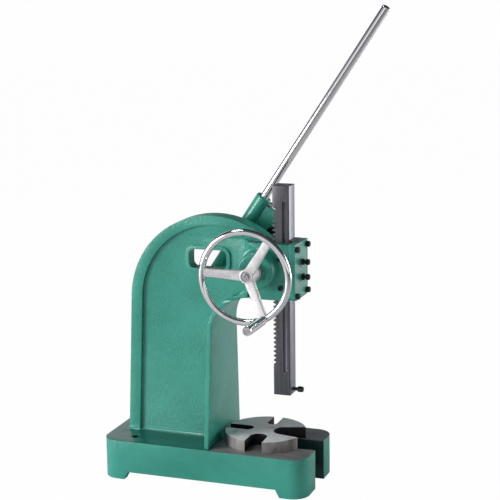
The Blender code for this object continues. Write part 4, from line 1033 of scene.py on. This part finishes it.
def cast_nodes(name, pale, deep):
    """Rough cast aluminium: a bright grey skin with small pits and a soft, clouded sheen."""
    material = plain_material(name)
    tree = material.node_tree
    shader = tree.nodes["Principled BSDF"]
    shader.inputs["Metallic"].default_value = 0.35
    way = new_node(tree, "TexCoord")
    grain = new_node(tree, "TexNoise", Scale=430, Detail=5)
    mottle = sum_node(tree, 0.8, -0.40)
    mixed = new_node(tree, "Math")
    cloud = new_node(tree, "TexNoise", Scale=60, Detail=3)
    tone = ramp_node(tree, 0.33, deep, 0.62, pale)
    gloss = new_node(tree, "MapRange", To_Min=0.48, To_Max=0.70)
    bump = new_node(tree, "Bump", Strength=0.6, Distance=0.0004)
    soften = new_node(tree, "Bevel", Radius=0.0018)
    soften.samples = 6
    wired(
        tree,
        (way.outputs["Object"], grain.inputs["Vector"]),
        (way.outputs["Object"], cloud.inputs["Vector"]),
        (grain.outputs["Fac"], mottle.inputs[0]),
        (mottle.outputs[0], mixed.inputs[0]),
        (cloud.outputs["Fac"], mixed.inputs[1]),
        (mixed.outputs[0], tone.inputs[0]),
        (tone.outputs[0], shader.inputs["Base Color"]),
        (grain.outputs["Fac"], gloss.inputs["Value"]),
        (gloss.outputs[0], shader.inputs["Roughness"]),
        (grain.outputs["Fac"], bump.inputs["Height"]),
        (soften.outputs[0], bump.inputs["Normal"]),
        (bump.outputs[0], shader.inputs["Normal"]),
    )
    return material


cast_aluminium = cast_nodes("cast_aluminium", (0.86, 0.85, 0.85), (0.66, 0.64, 0.65))
spokes = set_out(
    "spokes", wheel_spoke(), [(0, 0, 0)] * 3,
    [(0, -math.radians(GRIP_ANGLE + 120 * i), 0) for i in range(3)], cast_aluminium,
)
spokes.data.transform(Matrix.Translation(WHEEL_CENTRE))
hub = lathe(
    "hub",
    [(0, HUB_BACK), (0.0150, HUB_BACK), (0.0164, HUB_BACK - 0.0014), (HUB, HUB_FACE + 0.002),
     (HUB - 0.0003, HUB_FACE + 0.0006), (HUB - 0.0012, HUB_FACE), (0, HUB_FACE)],
    "Y", WHEEL_CENTRE, 72,
)
hub_recess = rod("recess", HUB - 0.0040, HUB_FACE - 0.01, HUB_FACE + HUB_RECESS, "Y", WHEEL_CENTRE, 64)
hub_bore = rod("bore", 0.0102, HUB_FACE - 0.01, HUB_BACK + 0.01, "Y", WHEEL_CENTRE, 48)
spider = cut(joined(hub, spokes), hub_recess, hub_bore)
in_place(spider, "cast_spider", cast_aluminium, "pinion", "wheel_spider", smooth=45)


def chrome_nodes(name, tint, roughness):
    """Polished chromium plate with a faint haze of wiping marks."""
    material = plain_material(name)
    tree = material.node_tree
    shader = tree.nodes["Principled BSDF"]
    shader.inputs["Metallic"].default_value = 1
    way = new_node(tree, "TexCoord")
    haze = new_node(tree, "TexNoise", Scale=70, Detail=6)
    tone = ramp_node(tree, 0, [0.9 * channel for channel in tint], 1, tint)
    gloss = new_node(tree, "MapRange", To_Min=roughness * 0.6, To_Max=roughness * 1.5)
    bump = new_node(tree, "Bump", Strength=0.04, Distance=0.0002)
    wired(
        tree,
        (way.outputs["Object"], haze.inputs["Vector"]),
        (haze.outputs["Fac"], tone.inputs[0]),
        (tone.outputs[0], shader.inputs["Base Color"]),
        (haze.outputs["Fac"], gloss.inputs["Value"]),
        (gloss.outputs[0], shader.inputs["Roughness"]),
        (haze.outputs["Fac"], bump.inputs["Height"]),
        (bump.outputs[0], shader.inputs["Normal"]),
    )
    return material


chrome = chrome_nodes("chromium_plate", (0.93, 0.93, 0.95), 0.07)
bpy.ops.mesh.primitive_torus_add(
    major_radius=WHEEL_RADIUS, minor_radius=WHEEL_TUBE, major_segments=220, minor_segments=40,
    location=(PINION[0], WHEEL_Y, PINION[1]), rotation=(math.pi / 2, 0, 0),
)
rim = bpy.context.object
rim.name = "rim"
rim = made_mesh(rim)
in_place(rim, "wheel_rim_chromed", chrome, "pinion", "wheel_rim", smooth=60)

hub_screw_low, hub_screw_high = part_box("hub_screw")
screw_face = hub_screw_low.y - middle.y
screw_back = hub_screw_high.y - middle.y
hub_screw = lathe(
    "hub_screw",
    [(0, screw_back), (0.0032, screw_back), (0.0032, screw_face + 0.0038), (0.0060, screw_face + 0.0038),
     (0.0060, screw_face + 0.0018), (0.0055, screw_face + 0.0007), (0.0044, screw_face), (0, screw_face)],
    "Y", WHEEL_CENTRE, 48,
)
key_line = [(0, screw_face + 0.0022), (0.0027, screw_face + 0.0020)]
key_line += [(0.0027, screw_face - 0.002), (0, screw_face - 0.002)]
hub_screw = cut(hub_screw, lathe("socket", key_line, "Y", WHEEL_CENTRE, 6))
in_place(hub_screw, "hub_cap_screw", turned_steel, "pinion", "hub_screw")

grip_low, grip_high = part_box("crank_grip")
grip_centre = ((grip_low.x + grip_high.x) / 2 - middle.x, 0, (grip_low.z + grip_high.z) / 2 - casting_low.z)
root_end = grip_high.y - middle.y
tip_end = grip_low.y - middle.y
grip = lathe(
    "grip",
    [(0.0038, root_end), (0.0090, root_end), (0.0098, root_end - 0.0008), (0.0098, root_end - 0.0040),
     (0.0086, root_end - 0.0050), (0.0086, root_end - 0.0066), (0.0100, root_end - 0.0078),
     (0.0100, tip_end + 0.0060), (0.0092, tip_end + 0.0050), (0.0092, tip_end + 0.0040),
     (0.0098, tip_end + 0.0032), (0.0096, tip_end + 0.0010), (0.0084, tip_end), (0.0068, tip_end),
     (0.0068, tip_end + 0.0034), (0.0038, tip_end + 0.0034), (0.0038, root_end)],
    "Y", grip_centre, 72,
)
in_place(grip, "crank_grip_chromed", chrome, "grip", "crank_grip")

# ---------------------------------------------------------------- lever
# The lever casting has a long socket joined by a flat arm to a hub on the far end of the shaft.
# It is enamelled like the frame; a plated steel bar is clamped in the socket by a small screw.

LEVER_LEAN = math.radians(33.7)
LEVER_OFFSET = 0.103
SOCKET = 0.0175
SOCKET_LOW = -0.128
SOCKET_HIGH = 0.092
SOCKET_Y = 0.0805
ARM_Y = 0.0735
ARM = 0.014
LEVER_HUB = 0.030
HUB_END = 0.0995
LEVER_BORE = 0.0132
SET_SCREW = SOCKET_HIGH - 0.0068
PAWL_OUT = 0.060
PAWL_ANGLE = math.radians(138)
ROD = 0.0095
ROD_LOW = -0.124
ROD_HIGH = 0.5901
LEVER_TURN = Matrix.Translation((PINION[0], 0, PINION[1])) @ Matrix.Rotation(LEVER_LEAN, 4, "Y")

edge = 0.0040
tube_line = [(0, SOCKET_HIGH)]
tube_line += arc((SOCKET - edge, SOCKET_HIGH - edge), edge, 90, 0, 8)
tube_line += arc((SOCKET - 0.003, SOCKET_LOW + 0.003), 0.003, 0, -90, 6) + [(0, SOCKET_LOW)]
tube = lathe("tube", tube_line, "Z", (-LEVER_OFFSET, SOCKET_Y, 0), 72)
shoulder = SET_SCREW - 0.006
inner = -LEVER_OFFSET + 0.004
arm_line = [(inner, SOCKET_LOW + 0.068)] + arc((0, 0), LEVER_HUB + 0.012, 240, 400, 40)
arm_line += [(-LEVER_OFFSET / 2, shoulder), (inner, shoulder)]
arm = rounded(slab("arm", arm_line, ARM_Y, ARM_Y + ARM, "Y"), 0.0028, 4, 50)
hub = rounded(rod("hub", LEVER_HUB, ARM_Y + 0.001, HUB_END, "Y", sides=80), 0.0025, 4, 50)
pivot = (PAWL_OUT * math.cos(PAWL_ANGLE), 0, PAWL_OUT * math.sin(PAWL_ANGLE))
socket_axis = (-LEVER_OFFSET, SOCKET_Y, 0)
set_hole = rod(
    "set_hole", SCREW + 0.0002, -LEVER_OFFSET, -LEVER_OFFSET + 0.04, "X", (0, SOCKET_Y, SET_SCREW), 24
)
lever = cut(
    joined(tube, arm, hub),
    rod("rod_bore", ROD + 0.0002, SOCKET_LOW - 0.01, SOCKET_HIGH + 0.01, "Z", socket_axis, 64),
    rod("hub_bore", LEVER_BORE, ARM_Y - 0.01, HUB_END + 0.01, "Y", sides=64),
    rod("pin_hole", 0.0042, ARM_Y - 0.01, ARM_Y + ARM + 0.01, "Y", pivot, 32),
    set_hole,
)
lever.data.transform(LEVER_TURN)
in_place(lever, "lever_casting", enamel, "lever", "lever_socket")

BAR_CROWN = 0.0045
bar_line = [(0, ROD_HIGH)]
for step in range(1, 11):
    turn = math.pi / 2 * (1 - step / 10)
    bar_line.append((ROD * math.cos(turn), ROD_HIGH - BAR_CROWN + BAR_CROWN * math.sin(turn)))
bar = lathe("bar", bar_line + [(ROD, ROD_LOW), (0, ROD_LOW)], "Z", socket_axis, 80)
bar.data.transform(LEVER_TURN)
in_place(bar, "lever_bar_plated", chrome, "lever", "lever_rod")
